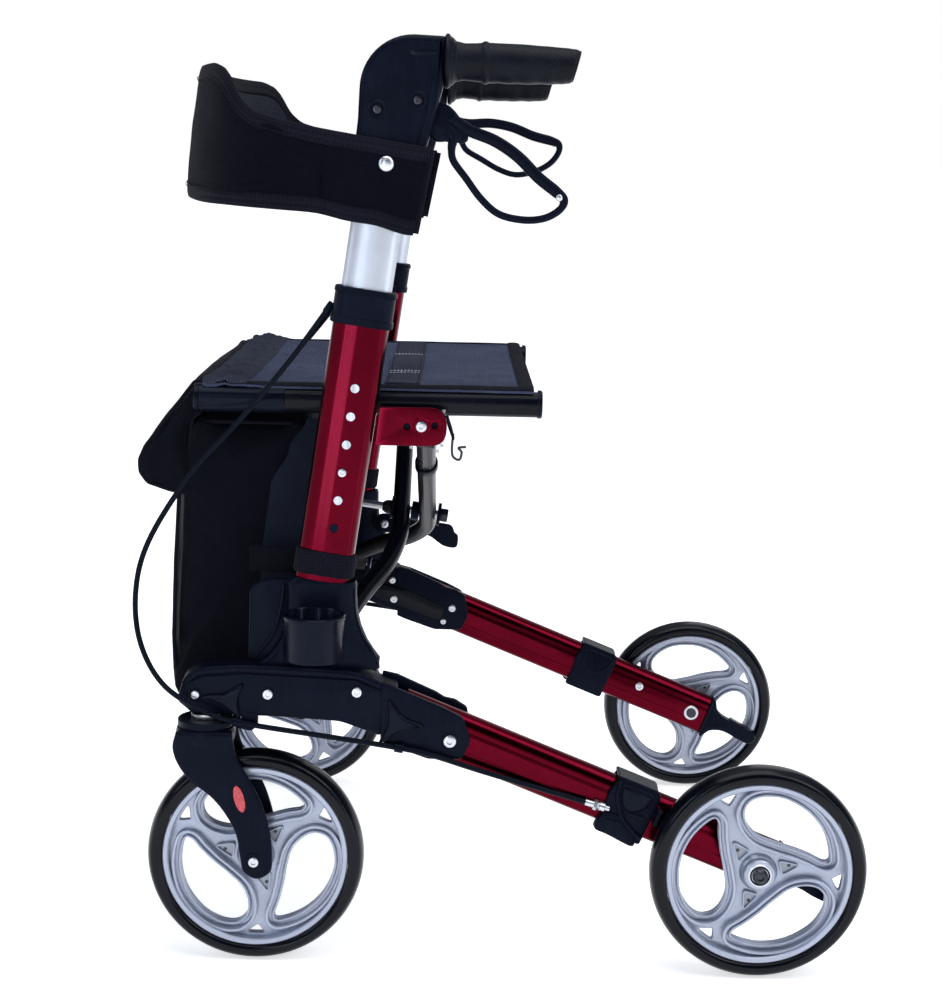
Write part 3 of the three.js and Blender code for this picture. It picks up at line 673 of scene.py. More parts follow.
# ---------- handle ----------
def make_housing(side):
    body = f"{side}_handle"
    crook = []
    for k in range(13):
        angle = math.pi / 2 * (1 + k / 12)
        crook.append((-40 + 47 * math.cos(angle), 796 + 47.5 * math.sin(angle)))
    outline = fillet(
        [(-97, 690), (-43, 686), (-36, 700), (-27.5, 748), (-14, 800), (-12.5, 842.5), *crook, (-88, 770)],
        [3, 3, 10, 5, 6, 2.5, *[0.5] * 13, 40], 6,
    )
    plate(f"elbow_{side}", outline, 237, 267, PLASTIC, body, side, rounding=5,
          stands_for=[f"handle_housing_{side}"])
    slot = fillet([(-43, 825), (-19, 826), (-19, 831.5), (-43, 830.5)], 2.5, 4)
    path = [Vector((p.x, 267, p.y)) for p in slot]
    sweep(f"elbow_slot_{side}", path, ring(0.55, 8, 0.5), PLASTIC, body, side, up=OUT, closed=True)
    plate(f"elbow_slot_floor_{side}", slot, 266.6, 267.15, GLOSSY, body, side, rounding=0.2)
    seam = [Vector(p) for p in ((-24, 266.2, 806), (-29.5, 266.8, 778), (-38, 266.8, 738))]
    sweep(f"elbow_seam_{side}", curve_through(seam, 6), ring(0.8, 8, 0.7), PLASTIC, body, side, up=OUT)
    lip = fillet([(-36, 742), (-28.5, 748), (-20, 782), (-15.5, 806), (-23, 808), (-28, 780)], 2, 4)
    plate(f"elbow_lip_{side}", lip, 265.5, 267.9, PLASTIC, body, side, rounding=0.9)
    for i, (x, z) in enumerate(((-71, 779), (-36, 787.5))):
        boss = [(0, -1), (8.2, -1), (8.2, 0.5), (7.4, 1.1), (5.6, 1.0), (4.8, -0.2), (0, -0.2)]
        lathe(f"elbow_boss_{side}_{i}", boss, (x, 267, z), OUT, PLASTIC, body, side)
        screw(f"elbow_screw_{side}_{i}", (x, 266.9, z), OUT, 3.9, body, side, DARK_STEEL, proud=1.2)
    pin = [(0, -14), (2.6, -14), (2.6, 14), (0, 14)]
    lathe(f"lever_pin_{side}", pin, (-26, 248, 776), OUT, STEEL, body, side, segments=20)


def make_grip(side):
    """A rubber grip: flared collar, neck, ridge, palm swell and an end cut at a slant."""
    body = f"{side}_handle"
    steps, around = 84, 40
    start, length = -13.5, 116
    loops = []
    for i in range(steps + 1):
        t = i / steps
        radius = grip_radius(length * t)
        palm = 1.0 + 0.07 * math.sin(math.pi * (t - 0.2) / 0.8) if t > 0.2 else 1.0
        finger = 0.2 * math.sin((length * t - 34) / 18 * 2 * math.pi) if 34 < length * t < 96 else 0
        loop = []
        for k in range(around):
            angle = 2 * math.pi * k / around
            r = radius + (finger if math.sin(angle) < 0 else 0)
            slant = 7.0 * math.sin(angle) * max(0, (t - 0.8) / 0.2)
            loop.append(Vector((
                start + length * t + slant * 0.5, GRIP_Y + r * palm * math.cos(angle),
                GRIP_Z - 2.2 * t + r * math.sin(angle))))
        loops.append(loop)
    add_loft(f"grip_rubber_{side}", loops, GRIP, body, side, sharp=50, stands_for=[f"grip_{side}"])


def grip_radius(h):
    """Radius of the grip at h millimetres from its collar's face."""
    knots = [(0, 21.5), (1.2, 23.6), (3.4, 23.8), (6, 21.0), (11, 17.2), (18, 16.0), (27, 16.4), (32, 16.9),
             (34.5, 18.4),
             (36.5, 18.5), (39, 17.3), (48, 17.2), (66, 17.2), (88, 16.4), (104, 15.6), (112, 14.8),
             (116, 13.2)]
    for (a, ra), (b, rb) in zip(knots, knots[1:]):
        if h <= b:
            t = (h - a) / (b - a)
            t = t * t * (3 - 2 * t)
            return ra + (rb - ra) * t
    return knots[-1][1]


def make_lever(side):
    """A loop lever: a flat root, a strong upper arm and a thin lower arm that meet at a riveted tip."""
    body = f"{side}_lever"
    pivot = Vector((-26, 0, 776))
    angle = PARKED_TURN if side == "left" else 0.0

    def turned(p):
        arm = Vector(p) - Vector((pivot.x, p[1], pivot.z))
        c, s = math.cos(angle), math.sin(angle)
        return Vector((pivot.x + arm.x * c - arm.z * s, p[1], pivot.z + arm.x * s + arm.z * c))

    root = curve_through(
        [(-33, 785), (-18, 790), (-7, 788), (8, 779), (14, 770), (10, 765), (0, 762), (-12, 757), (-24, 763),
         (-35, 768)],
        6, True)
    plate(f"lever_root_{side}", root, 243.5, 252.5, PLASTIC, body, side, rounding=2, turn=turned)
    loop = curve_through(
        [(-8, 781), (12, 778), (36, 779), (60, 775), (84, 766), (104, 761), (113, 757), (113, 748),
         (104, 736), (88, 727),
         (66, 722.5), (46, 728), (26, 739), (10, 748), (4, 757), (1, 767), (-6, 770)], 7)
    path = [turned((p.x, GRIP_Y, p.y)) for p in loop]

    def thickness(t):
        heavy = 1.0 if t < 0.36 else 0.62
        if 0.3 <= t <= 0.42:
            heavy = 1.0 - 0.38 * (t - 0.3) / 0.12
        if t > 0.86:
            heavy = 0.62 + 0.5 * (t - 0.86) / 0.14
        return (heavy, 1.0)

    sweep(f"lever_loop_{side}", path, bar_section(10.5, 11, 3.4, 4), PLASTIC, body, side, up=OUT,
          scale=thickness,
          stands_for=[f"brake_lever_{side}"], sharp=50)
    tip = turned((108, 253.5, 757.5))
    washer_stud(f"lever_rivet_{side}", tip, OUT, 3.1, body, side)


def make_cable(side):
    """The brake cable's jacket in its free arc, with end ferrules and clips."""
    body = f"{side}_frame"
    route = [
        (-113, 252, 604), (-146, 254, 558), (-191, 257, 503), (-235.5, 259, 452), (-272, 262, 392),
        (-283, 268, 345),
        (-277, 276, 299), (-254, 281, 261.5), (-213, 281, 237), (-181, 277, 227.5), (-107, 277, 217),
        (-51, 277, 209),
        (-15, 277, 202), (32, 275, 187), (90, 271, 169), (138, 271, 155.5),
    ]
    path = curve_through(route, 10)
    sweep(f"cable_jacket_{side}", path, ring(2.5, 14), JACKET, body, side, up=OUT,
          stands_for=[f"brake_cable_{side}"],
          sharp=60)
    entry = (path[0] - path[3]).normalized()
    ferrule = [(0, -6), (3.1, -6), (3.4, -4.5), (3.4, 4), (2.9, 5), (0, 5)]
    lathe(f"cable_entry_{side}", ferrule, path[0] + entry * 2, entry, PLASTIC, body, side, segments=24)
    tail = (path[-1] - path[-4]).normalized()
    make_adjuster(side, body, path[-1], tail)
    for i, index in enumerate((88, 112)):
        along = (path[index + 1] - path[index - 1]).normalized()
        clip = [(2.55, -4), (4.2, -4), (4.2, 4), (2.55, 4), (2.55, -4)]
        lathe(f"cable_clip_{side}_{i}", clip, path[index], along, PLASTIC, body, side, segments=24)


def make_adjuster(side, body, at, along):
    """Barrel adjuster: a ferrule, a knurled nut and a threaded barrel that enters the brake clamp."""
    parts = [
        ("ferrule", [(0, -9), (3.0, -9), (3.1, -1), (0, -1)], 24),
        ("lock_nut", [(0, -1), (4.6, -1), (4.9, 0), (4.9, 2.4), (4.6, 3.2), (0, 3.2)], 6),
        ("barrel", [(0, 3.2), (3.4, 3.2), (3.4, 4), (4.2, 4.6), (4.2, 9.4), (3.4, 10), (2.6, 10), (2.6, 14),
                    (0, 14)], 18),
    ]
    for name, profile, segments in parts:
        lathe(f"adjuster_{name}_{side}", profile, at, along, STEEL, body, side, segments=segments, sharp=25)


# ---------- lower side frame ----------
def make_socket(side):
    """The moulding that takes the post: a flared column with a fin in front and a collar at its top."""
    body = f"{side}_frame"
    fin = fillet([(-183, 279), (-128, 279), (-134, 357), (-168, 356.5), (-182, 350)], [2, 2, 2, 8, 12], 8)
    plate(f"socket_fin_{side}", fin, 244, 251, PLASTIC, body, side, rounding=2,
          stands_for=[f"post_socket_{side}"])
    column = [(276, -180, -62, 11.6), (280.5, -173, -62.5, 12.2), (286, -166, -62, 13.0),
              (293, -160, -67.5, 13.5),
              (303, -154, -74, 14.0), (316, -150, -79.5, 14.3), (330, -148, -83, 14.5),
              (346, -147.4, -84, 14.8),
              (355, -148, -84, 15.2), (357.5, -147, -85, 14.9)]
    loops = []
    unit = crowned_section(2, 2, 3.2)
    for z, front, rear, deep in column:
        middle_x, half = (front + rear) / 2, (rear - front) / 2
        loops.append([Vector((middle_x + a * half, 251 + b * deep, z)) for a, b in unit])
    for depth in (236.2, 300):
        loops.append([on_post(depth, a, b) for a, b in crowned_section(51.8, 25.8, 3.2)])
    add_loft(f"socket_column_{side}", loops, PLASTIC, body, side, sharp=50)
    for i, route in enumerate((
        [(-150, 258.5, 354), (-153, 258.5, 330), (-161, 257, 305), (-177, 254, 284)],
        [(-86, 259.5, 352), (-85, 259, 330), (-79, 259, 310), (-69, 258, 293), (-63.5, 257, 281)],
    )):
        path = curve_through([Vector(p) for p in route], 8)
        sweep(f"socket_rib_{side}_{i}", path, ring(1.4, 10, 1.6), PLASTIC, body, side, up=OUT)


def make_beam(side):
    """The black two-shell beam that joins caster, post and leg, with its ledge, corner webs and screws."""
    body = f"{side}_frame"
    front = fillet(
        [(-246, 246), (-232, 234), (-196, 233), (-157, 232.5), (-97, 229), (-60, 216), (-44, 262),
         (-58, 266.5),
         (-84, 277), (-184, 281), (-226, 277), (-240, 268)],
        [6, 5, 30, 60, 40, 3, 3, 8, 20, 30, 14, 10], 6)
    plate(f"beam_body_{side}", front, 238, 269.5, PLASTIC, body, side, rounding=2.5,
          stands_for=[f"side_beam_{side}"])
    rear = fillet(
        [(-60, 212), (-51, 208), (-16, 196), (15, 196), (23, 214), (15, 236), (-3, 245), (-46, 262.5),
         (-60, 266)],
        [1, 30, 20, 8, 12, 9, 14, 6, 2], 6)
    tall = fillet(
        [(-60, 212), (-51, 208), (-16, 196), (15, 196), (23, 214), (19, 237), (8, 244), (-2, 246), (-10, 251),
         (-46, 267),
         (-60, 270)],
        [1, 30, 20, 8, 12, 5, 5, 6, 8, 5, 2], 6)
    for name, shape, low, high in (("outer", rear, 266.4, 272.4), ("inner", tall, 234.6, 240.8)):
        plate(f"beam_cheek_{name}_{side}", shape, low, high, PLASTIC, body, side, rounding=1.6)
    ledge = [Vector(p) for p in (
        (-238, 267, 262), (-232, 268, 269.5), (-224, 268, 273.5), (-205, 268, 276), (-184, 268, 277.2),
        (-130, 268, 275.4),
        (-86, 268, 273), (-72, 268, 268.5), (-60, 268, 263.5))]
    sweep(f"beam_ledge_{side}", curve_through(ledge, 8), bar_section(8.4, 7.6, 3.4, 5), PLASTIC, body, side,
          up=(0, 0, 1))
    face = fillet(
        [(-244, 247), (-231, 236), (-196, 235), (-157, 234.5), (-96, 231), (-60, 219), (-58, 259), (-84, 269),
         (-184, 273), (-222, 270), (-238, 262)],
        [6, 5, 30, 40, 40, 3, 3, 10, 20, 14, 10], 6)
    plate(f"beam_face_{side}", face, 268.4, 271.4, PLASTIC, body, side, rounding=0.8)
    webs = (("front", [(-228, 252), (-183, 267), (-186, 228)]),
            ("rear", [(-54, 256), (-16, 227), (-64, 207)]))
    for name, corners in webs:
        make_web(f"beam_web_{name}_{side}", corners, side, body)
    for i, (x, z, r) in enumerate(((-229, 252.5, 4.0), (-163, 254, 4.8), (-82, 257.5, 4.8), (3.6, 214, 6.2))):
        surface = 271.4 if i < 3 else 272.4
        cup = [(0, -1), (r + 2.2, -1), (r + 2.2, 0.3), (r + 1.5, 0.7), (r + 0.5, 0.6), (r + 0.2, -0.4),
               (0, -0.4)]
        lathe(f"beam_cup_{side}_{i}", cup, (x, surface, z), OUT, PLASTIC, body, side, segments=32)
        screw(f"beam_screw_{side}_{i}", (x, surface + 0.2, z), OUT, r, body, side,
              proud=1.6 if i < 3 else 3.4)
    make_beam_inside(side, body)
    make_cable_guide(side, body)


def make_beam_inside(side, body):
    """The beam's inner face: a long ribbed panel, screws, and the lugs and pin of the cross brace."""
    panel = fillet([(-176, 241), (-96, 238), (-52, 222), (-10, 207), (-4, 222), (-50, 243), (-92, 252),
                    (-176, 256)],
                   [5, 30, 30, 5, 5, 20, 20, 5], 5)
    plate(f"beam_panel_{side}", panel, 232.8, 239, BLACK_METAL, body, side, rounding=1.2)
    for i, (x, z, r, surface) in enumerate(((-150, 264, 4, 238), (-66, 254, 4, 234.6), (-64, 232, 4.5, 232.8),
                                            (4, 222, 4.5, 234.6), (-6, 206, 3.5, 234.6))):
        screw(f"beam_inner_screw_{side}_{i}", (x, surface, z), (0, -1, 0), r, body, side, proud=1.8)
    for i, x in enumerate((-117, -93)):
        ear = fillet([(213, 262), (238.5, 262), (238.5, 286), (226, 291), (213, 288)], [9, 1, 1, 6, 9], 5)
        add_ear(f"brace_ear_{side}_{i}", ear, BRACE_LOW, x, 2, PLASTIC, body, side)
    pin = [(0, -15), (6, -15), (6.6, -14.3), (6.6, -12.4), (4, -12.4), (4, 12.4), (6.6, 12.4), (6.6, 14.6),
           (0, 14.6)]
    lathe(f"brace_pin_{side}", pin, BRACE_LOW, HINGE_AXIS, STEEL, body, side, segments=24)


def tipped(point, hinge):
    """A point turned about a hinge so that its x axis lies along the brace's leaning hinge pins."""
    return hinge + Matrix.Rotation(LEAN, 3, "Y") @ (point - hinge)


def add_ear(name, outline, hinge, x, half, material, body, side):
    """A flat ear drawn in (y, z) about x, tipped to stand square to its hinge pin."""
    loops = [[tipped(Vector((at, p[0], p[1])), hinge) for p in outline] for at in (x - half, x + half)]
    add_loft(name, loops, material, body, side)


def brace_height(x, share):
    """Height of a brace tube's middle at x, a share of the way from its lower hinge to its upper one."""
    return BRACE_LOW.z + (share * BRACE_RISE - (x - BRACE_LOW.x) * math.sin(LEAN)) / math.cos(LEAN)


def make_web(name, corners, side, body):
    """A raised three-cornered web with hollowed sides."""
    centre = sum((Vector(c) for c in corners), Vector((0, 0))) / 3
    points = []
    for i, corner in enumerate(corners):
        following = Vector(corners[(i + 1) % 3])
        points.append(Vector(corner))
        between = (Vector(corner) + following) / 2
        points.append(between.lerp(centre, 0.5))
    outline = fillet(points, [2.2, 24] * 3, 8)
    plate(name, outline, 270, 276.4, GLOSSY, body, side, rounding=2.4)


def make_cable_guide(side, body):
    guide = fillet([(-196, 238), (-172, 238), (-172, 224), (-178, 219), (-192, 222)], 4, 5)
    plate(f"cable_guide_{side}", guide, 262, 272, PLASTIC, body, side, rounding=1.5)
    screw(f"guide_screw_{side}", (-189, 272, 231), OUT, 3, body, side, proud=1)


def make_leg(side):
    body = f"{side}_frame"
    section = [(b, -a) for a, b in ridged_section(46, 25, -9.5, 1.1, 4.0, 5.5)]
    inner = [(a * 0.84, b * 0.91) for a, b in section]
    low, high = -62, 315
    loops = []
    for grow, at, shape in (
        (0, low, section), (0, high - 0.8, section), (-0.7, high, section), (0, high, inner), (0, low, inner),
    ):
        loops.append([on_leg(at, b * (1 + grow / 23), a * (1 + grow / 12)) for a, b in shape])
    add_loft(f"leg_tube_{side}", loops, RED_LEG, body, side, "joined", sharp=40,
             stands_for=[f"rear_leg_{side}"])
    for i, out in enumerate((12.3, -12.3)):
        path = [on_leg(10, -9, out), on_leg(314, -9, out)]
        sweep(f"leg_bead_{side}_{i}", path, ring(0.9, 8, 0.5), RED_LEG, body, side, up=OUT)
    screw(f"leg_screw_{side}", on_leg(228, 3, -12.6), (0, -1, 0), 5, body, side, proud=2.2)
    tick = [on_leg(272, 22.9, 8.5), on_leg(272, 22.0, 12.2)]
    sweep(f"leg_mark_{side}", tick, bar_section(1.6, 0.8, 0.3, 3), PALE_PLUG, body, side, up=(1, 0, 0))


def leg_slab(name, outline, low, high, side, material, taper=0.0):
    """A moulded slab on the leg's flank. outline is (along, up) from LEG_POINT; low and high its depth."""
    centre = sum((Vector(p) for p in outline), Vector((0, 0))) / len(outline)
    loops = []
    way = 1 if high > low else -1
    for out, shrink in ((low, 0), (high - 1.2 * way, 0), (high - 0.4 * way, 0.5), (high, 1.4)):
        inwards = shrink + taper * abs(out - low)
        flat = [Vector(p) - (Vector(p) - centre).normalized() * inwards for p in outline]
        loops.append([on_leg(q.x, q.y, out) for q in flat])
    add_loft(name, loops, material, f"{side}_frame", side, sharp=40)


def make_brake(side):
    """The brake's clamp around the leg, its moulded face and the shoe."""
    body = f"{side}_frame"
    along = 167
    shell = fillet([(-18, 27), (20, 27), (24, 22), (23, -27), (-22, -27), (-21, -8), (-23, 8)],
                   [5, 5, 5, 3, 3, 22, 20], 6)
    shell = [(along + a, b) for a, b in shell]
    leg_slab(f"clamp_outer_{side}", shell, 12.9, 17.0, side, PLASTIC)
    leg_slab(f"clamp_inner_{side}", shell, -12.9, -15.6, side, PLASTIC)
    for name, level in (("top", 25.2), ("bottom", -25.4)):
        path = [on_leg(along, level, out) for out in (-14.6, 15.4)]
        section = [(b, a) for a, b in bar_section(40, 3.4, 1.4, 4)]
        sweep(f"clamp_{name}_{side}", path, section, PLASTIC, body, side,
              up=(math.cos(SLOPE), 0, -math.sin(SLOPE)),
              **({"stands_for": [f"brake_clamp_{side}"]} if name == "top" else {}))
    for sign, face in ((1, 17.0), (-1, -15.6)):
        window = curve_through([(-13, 22), (2, 23), (17, 22), (18.5, 17), (15, 8), (8, 1), (1, -1.5), (-6, 1),
                                (-11.5, 9), (-14, 17)],
                               5, True)
        path = [on_leg(along + p[0], p[1] - 1, face) for p in window]
        sweep(f"clamp_ring_{side}_{sign + 1}", path, ring(1.3, 10, 1.2), PLASTIC, body, side, up=OUT,
              closed=True)
        if sign > 0:
            dish = [(along + p[0] * 0.86 + 0.3, (p[1] - 10.5) * 0.86 + 9.5) for p in window]
            leg_slab(f"clamp_dish_{side}", dish, face - 0.5, face + 0.9, side, GLOSSY)
    sweep_ridge = curve_through([on_leg(along - 17, 24, 17.2), on_leg(along - 14, 8, 17.8),
                                 on_leg(along - 3, -8, 18.4),
                                 on_leg(along + 12, -17, 18.6), on_leg(along + 22, -20, 17.4)], 8)
    sweep(f"clamp_ridge_{side}", sweep_ridge, ring(2.2, 12, 1.9), PLASTIC, body, side, up=OUT)
    lobe = curve_through([(-21, -12), (-12, -7), (0, -8), (10, -13), (16, -20), (19, -27), (15, -31),
                          (-10, -29), (-23, -27)], 5, True)
    leg_slab(f"clamp_foot_{side}", [(along + p[0], p[1]) for p in lobe], 12, 19.6, side, PLASTIC, 0.12)
    lobe_line = curve_through([on_leg(along - 17, -16, 19.7), on_leg(along - 4, -13.5, 19.9),
                               on_leg(along + 8, -19, 19.7),
                               on_leg(along + 12, -27, 19.4)], 6)
    sweep(f"clamp_foot_line_{side}", lobe_line, ring(1.1, 8, 0.9), PLASTIC, body, side, up=OUT)
    bar = [on_leg(along + 1, -2.5, 17.2), on_leg(along + 17, -1.5, 17.2)]
    sweep(f"clamp_bar_{side}", bar, ring(2.4, 10, 1.6), PLASTIC, body, side, up=OUT)
    screw(f"clamp_screw_{side}", on_leg(along + 23.0, -6, 12), (math.cos(SLOPE), 0, -math.sin(SLOPE)), 3.2,
          body, side, proud=0.8)
    make_shoe(side)


def make_shoe(side):
    """The shoe: a curved block that faces the tyre, on a short arm that comes out of the clamp."""
    body = f"{side}_shoe"
    pivot = Vector((176, 268, 166))
    hub = Vector((289, 272, 100))
    away = Vector((-100.3, 0, 44.2)).normalized()
    tilt = Matrix.Rotation(math.radians(4.8), 3, "Y")
    turn = Matrix.Rotation(math.radians(-8 if side == "left" else 0), 3, "Y")
    middle_ = hub + away * 105.1
    block = []
    for k in range(-4, 5):
        spoke = hub + Matrix.Rotation(math.radians(k), 3, "Y") @ away * 105.1
        block.append(pivot + turn @ (middle_ + tilt @ (spoke - middle_) - pivot))
    sweep(f"shoe_pad_{side}", block, bar_section(5, 14, 1.6, 4), PLASTIC, body, side, up=OUT,
          stands_for=[f"brake_shoe_{side}"])
    near, far = Vector((181.5, 266, 156.5)), hub + away * 106.8
    far.y = 268
    path = [pivot + turn @ (p - pivot) for p in (near, far)]
    sweep(f"shoe_arm_{side}", path, bar_section(8, 4, 1.6, 4), PLASTIC, body, side, up=OUT)


def make_end_plug(side):
    body = f"{side}_frame"
    outline = curve_through(
        [(300.6, 71.6), (312, 77), (324, 77.5), (334, 74), (346, 67), (358, 62), (365, 64.5), (367, 70),
         (362, 76),
         (350, 82), (338, 88), (328, 94), (321, 102), (316.6, 113)], 6, True)
    plate(f"tip_lever_{side}", outline, 243, 265, PLASTIC, body, side, rounding=3,
          stands_for=[f"end_plug_{side}"])
    section = bar_section(46.6, 25.6, 7.8, 6)
    cap = [[on_leg(at, a * share, b * share) for a, b in section] for at, share in ((315.6, 1), (319, 0.93))]
    add_loft(f"leg_cap_{side}", cap, PLASTIC, body, side)
    pad = [Vector((338, 254, 88.5)), Vector((366, 254, 72.5))]
    sweep(f"tip_pad_{side}", pad, bar_section(18, 4, 1.6, 4), GLOSSY, body, side, up=(0, 0, 1))


# ---------- wheels ----------
def polar(radius, degrees):
    angle = math.radians(degrees)
    return (radius * math.cos(angle), radius * math.sin(angle))


BIG_OPENING = [(61, 8), (67.5, 11), (70.5, 30), (72.8, 50), (74, 70), (73, 85), (69, 97), (60, 104),
               (49, 105),
               (38, 99), (31.5, 86), (30, 68), (32, 50), (39, 32), (50, 17)]
SLOT_OPENING = [(78, 118.5), (77.8, 105), (68.5, 114)]
HUB_POCKET = [(39, 130), (22, 113), (21.5, 152)]


def three_times(shape):
    """A wheel opening drawn as (radius, degrees), repeated for the three spokes."""
    return [[(r, a + spin) for r, a in shape] for spin in (0, 120, 240)]


def make_wheel(side, kind, body, hub_half, turn):
    """A moulded wheel: web with its openings, flange, raised lips, hub and tyre."""
    node = f"{kind}_rim_{side}"
    centre = middle_of(node)
    make_tyre(side, kind, body, centre)

    def spot(p, extra=0.0, out=0.0):
        x, z = polar(p[0] + extra, p[1] + turn)
        return Vector((centre.x + x, centre.y + out, centre.z + z))

    def flat(points):
        return [(p.x, p.z) for p in points]

    openings, slots = three_times(BIG_OPENING), three_times(SLOT_OPENING)
    disc = [spot((83.5, a * 3.75)) for a in range(96)]
    holes = [flat(curve_through([spot(p) for p in opening], 5, True)) for opening in openings]
    holes += [flat(fillet([spot(p) for p in slot], 1.8, 4)) for slot in slots]
    plate(f"wheel_web_{kind}_{side}", flat(disc), centre.y - 3.2, centre.y + 3.2, RIM, body, side,
          holes=holes, rounding=1.2, stands_for=[node], sharp=40)
    flange = [(80, -11.3), (81, -12.6), (84.6, -12.6), (85.6, -11.6), (85.6, 11.6), (84.6, 12.6), (81, 12.6),
              (80, 11.3), (79.6, 5.4), (79.6, -5.4), (80, -11.3)]
    lathe(f"wheel_flange_{kind}_{side}", flange, centre, OUT, RIM, body, side, segments=128, sharp=28)
    for k, opening in enumerate(openings):
        for face in (-1, 1):
            for name, lift, grow, wide, tall in (("inner", 4.0, 0.6, 2.6, 4.4),
                                                 ("outer", 5.6, 6.3, 3.2, 8.4)):
                pts = curve_through([spot(p, out=face * lift) for p in opening], 5, True)
                pts = offset_loop(pts, grow)
                sweep(f"wheel_lip_{kind}_{side}_{k}_{face + 1}_{name}", pts, bar_section(wide, tall, 1.2, 4),
                      RIM, body, side,
                      up=OUT, closed=True, sharp=60)
    make_hub(side, kind, body, centre, hub_half, spot)


def offset_loop(points, grow):
    """A closed loop in an x-z plane moved outwards by grow."""
    out = []
    for i, p in enumerate(points):
        along = (points[(i + 1) % len(points)] - points[i - 1]).normalized()
        out.append(p + Vector((along.z, 0, -along.x)) * grow)
    return out


def make_hub(side, kind, body, centre, hub_half, spot):
    barrel = [(7.4, -hub_half), (13.2, -hub_half), (14.4, -hub_half + 1.2), (14.6, -7), (17.5, -4), (17.5, 4),
              (14.6, 7),
              (14.4, hub_half - 1.2), (13.2, hub_half), (7.4, hub_half), (7.4, -hub_half)]
    lathe(f"hub_{kind}_{side}", barrel, centre, OUT, RIM, body, side, segments=64, sharp=30)
    for face in (-1, 1):
        at = centre + Vector((0, face * (hub_half - 1.4), 0))
        race = [(5.9, -2.5), (11.2, -2.5), (11.2, 1.2), (10.6, 1.9), (9.4, 1.9), (9.2, 1.2), (7.8, 1.2),
                (7.6, 1.9),
                (6.4, 1.9), (5.9, 1.4), (5.9, -2.5)]
        lathe(f"bearing_{kind}_{side}_{face + 1}", race, at, (0, face, 0), STEEL, body, side, segments=48,
              sharp=30)
        seal = [(7.7, 0), (9.3, 0), (9.3, 1.5), (7.7, 1.5), (7.7, 0)]
        lathe(f"bearing_seal_{kind}_{side}_{face + 1}", seal, at, (0, face, 0), GLOSSY, body, side,
              segments=48)
        for k in range(3):
            pocket = fillet([spot((r, a + 120 * k), out=face * 5.2) for r, a in HUB_POCKET], 2.2, 4)
            sweep(f"pocket_{kind}_{side}_{face + 1}_{k}", pocket, bar_section(1.6, 3.4, 0.6, 3), RIM, body,
                  side, up=OUT,
                  closed=True, sharp=50)
            # A thin plate in the darker silver across each pocket: painted shade that makes the pocket read
            # as a recess.
            painted_shade_floor = [[Vector((p.x, centre.y + face * out, p.z)) for p in pocket] for out in (3.6, 4.25)]
            add_loft(f"pocket_well_{kind}_{side}_{face + 1}_{k}", painted_shade_floor, RIM_PAINTED_SHADE, body, side)
            # A dark disc where each pocket has its hole: painted shade of the hole's inside, not a steel
            # part.
            hole_at = spot((28.6, 133 + 120 * k), out=face * 4.25)
            lathe(f"pocket_hole_{kind}_{side}_{face + 1}_{k}",
                  [(0, -0.3), (1.7, -0.3), (1.7, 0.12), (0, 0.12)], hole_at,
                  (0, face, 0), DARK_STEEL, body, side, segments=20)


def make_tyre(side, kind, body, centre):
    profile = [(85.9, -12.2), (87.2, -13.8), (89.5, -14.8), (92.4, -14.9)]
    for k in range(13):
        angle = math.radians(-68 + k * 136 / 12)
        profile.append((90.6 + 9.4 * math.cos(angle) ** 0.8, 15.2 * math.sin(angle)))
    profile += [(92.4, 14.9), (89.5, 14.8), (87.2, 13.8), (85.9, 12.2), (85.9, -12.2)]
    lathe(f"tyre_{kind}_{side}", profile, centre, OUT, TYRE, body, side, segments=144, sharp=50,
          stands_for=[f"{kind}_tyre_{side}"])


def make_rear_axle(side):
    body = f"{side}_frame"
    centre = middle_of(f"rear_rim_{side}")
    stages = [(0, 237.4 - centre.y), (5.0, 237.4 - centre.y), (5.6, 238 - centre.y), (5.6, 241.2 - centre.y),
              (5.8, 241.2 - centre.y),
              (5.8, 14), (7.2, 14.5), (7.2, 17.2), (5.2, 19.6), (3.4, 20), (3.0, 17.8), (0, 17.6)]
    lathe(f"axle_bolt_{side}", stages, centre, OUT, DARK_STEEL, body, side, segments=32,
          stands_for=[f"rear_axle_{side}"], sharp=28)
    seat_ring = [(5.8, 239.4 - centre.y), (8.2, 239.4 - centre.y), (8.6, 240 - centre.y),
                 (8.6, 241.4 - centre.y),
                 (5.8, 241.4 - centre.y), (5.8, 239.4 - centre.y)]
    lathe(f"axle_seat_{side}", seat_ring, centre, OUT, STEEL, body, side, segments=32)
    spacer = [(6, 267 - centre.y), (8, 267 - centre.y), (8, -15.4), (6, -15.4), (6, 267 - centre.y)]
    lathe(f"axle_spacer_{side}", spacer, centre, OUT, STEEL, body, side, segments=32)


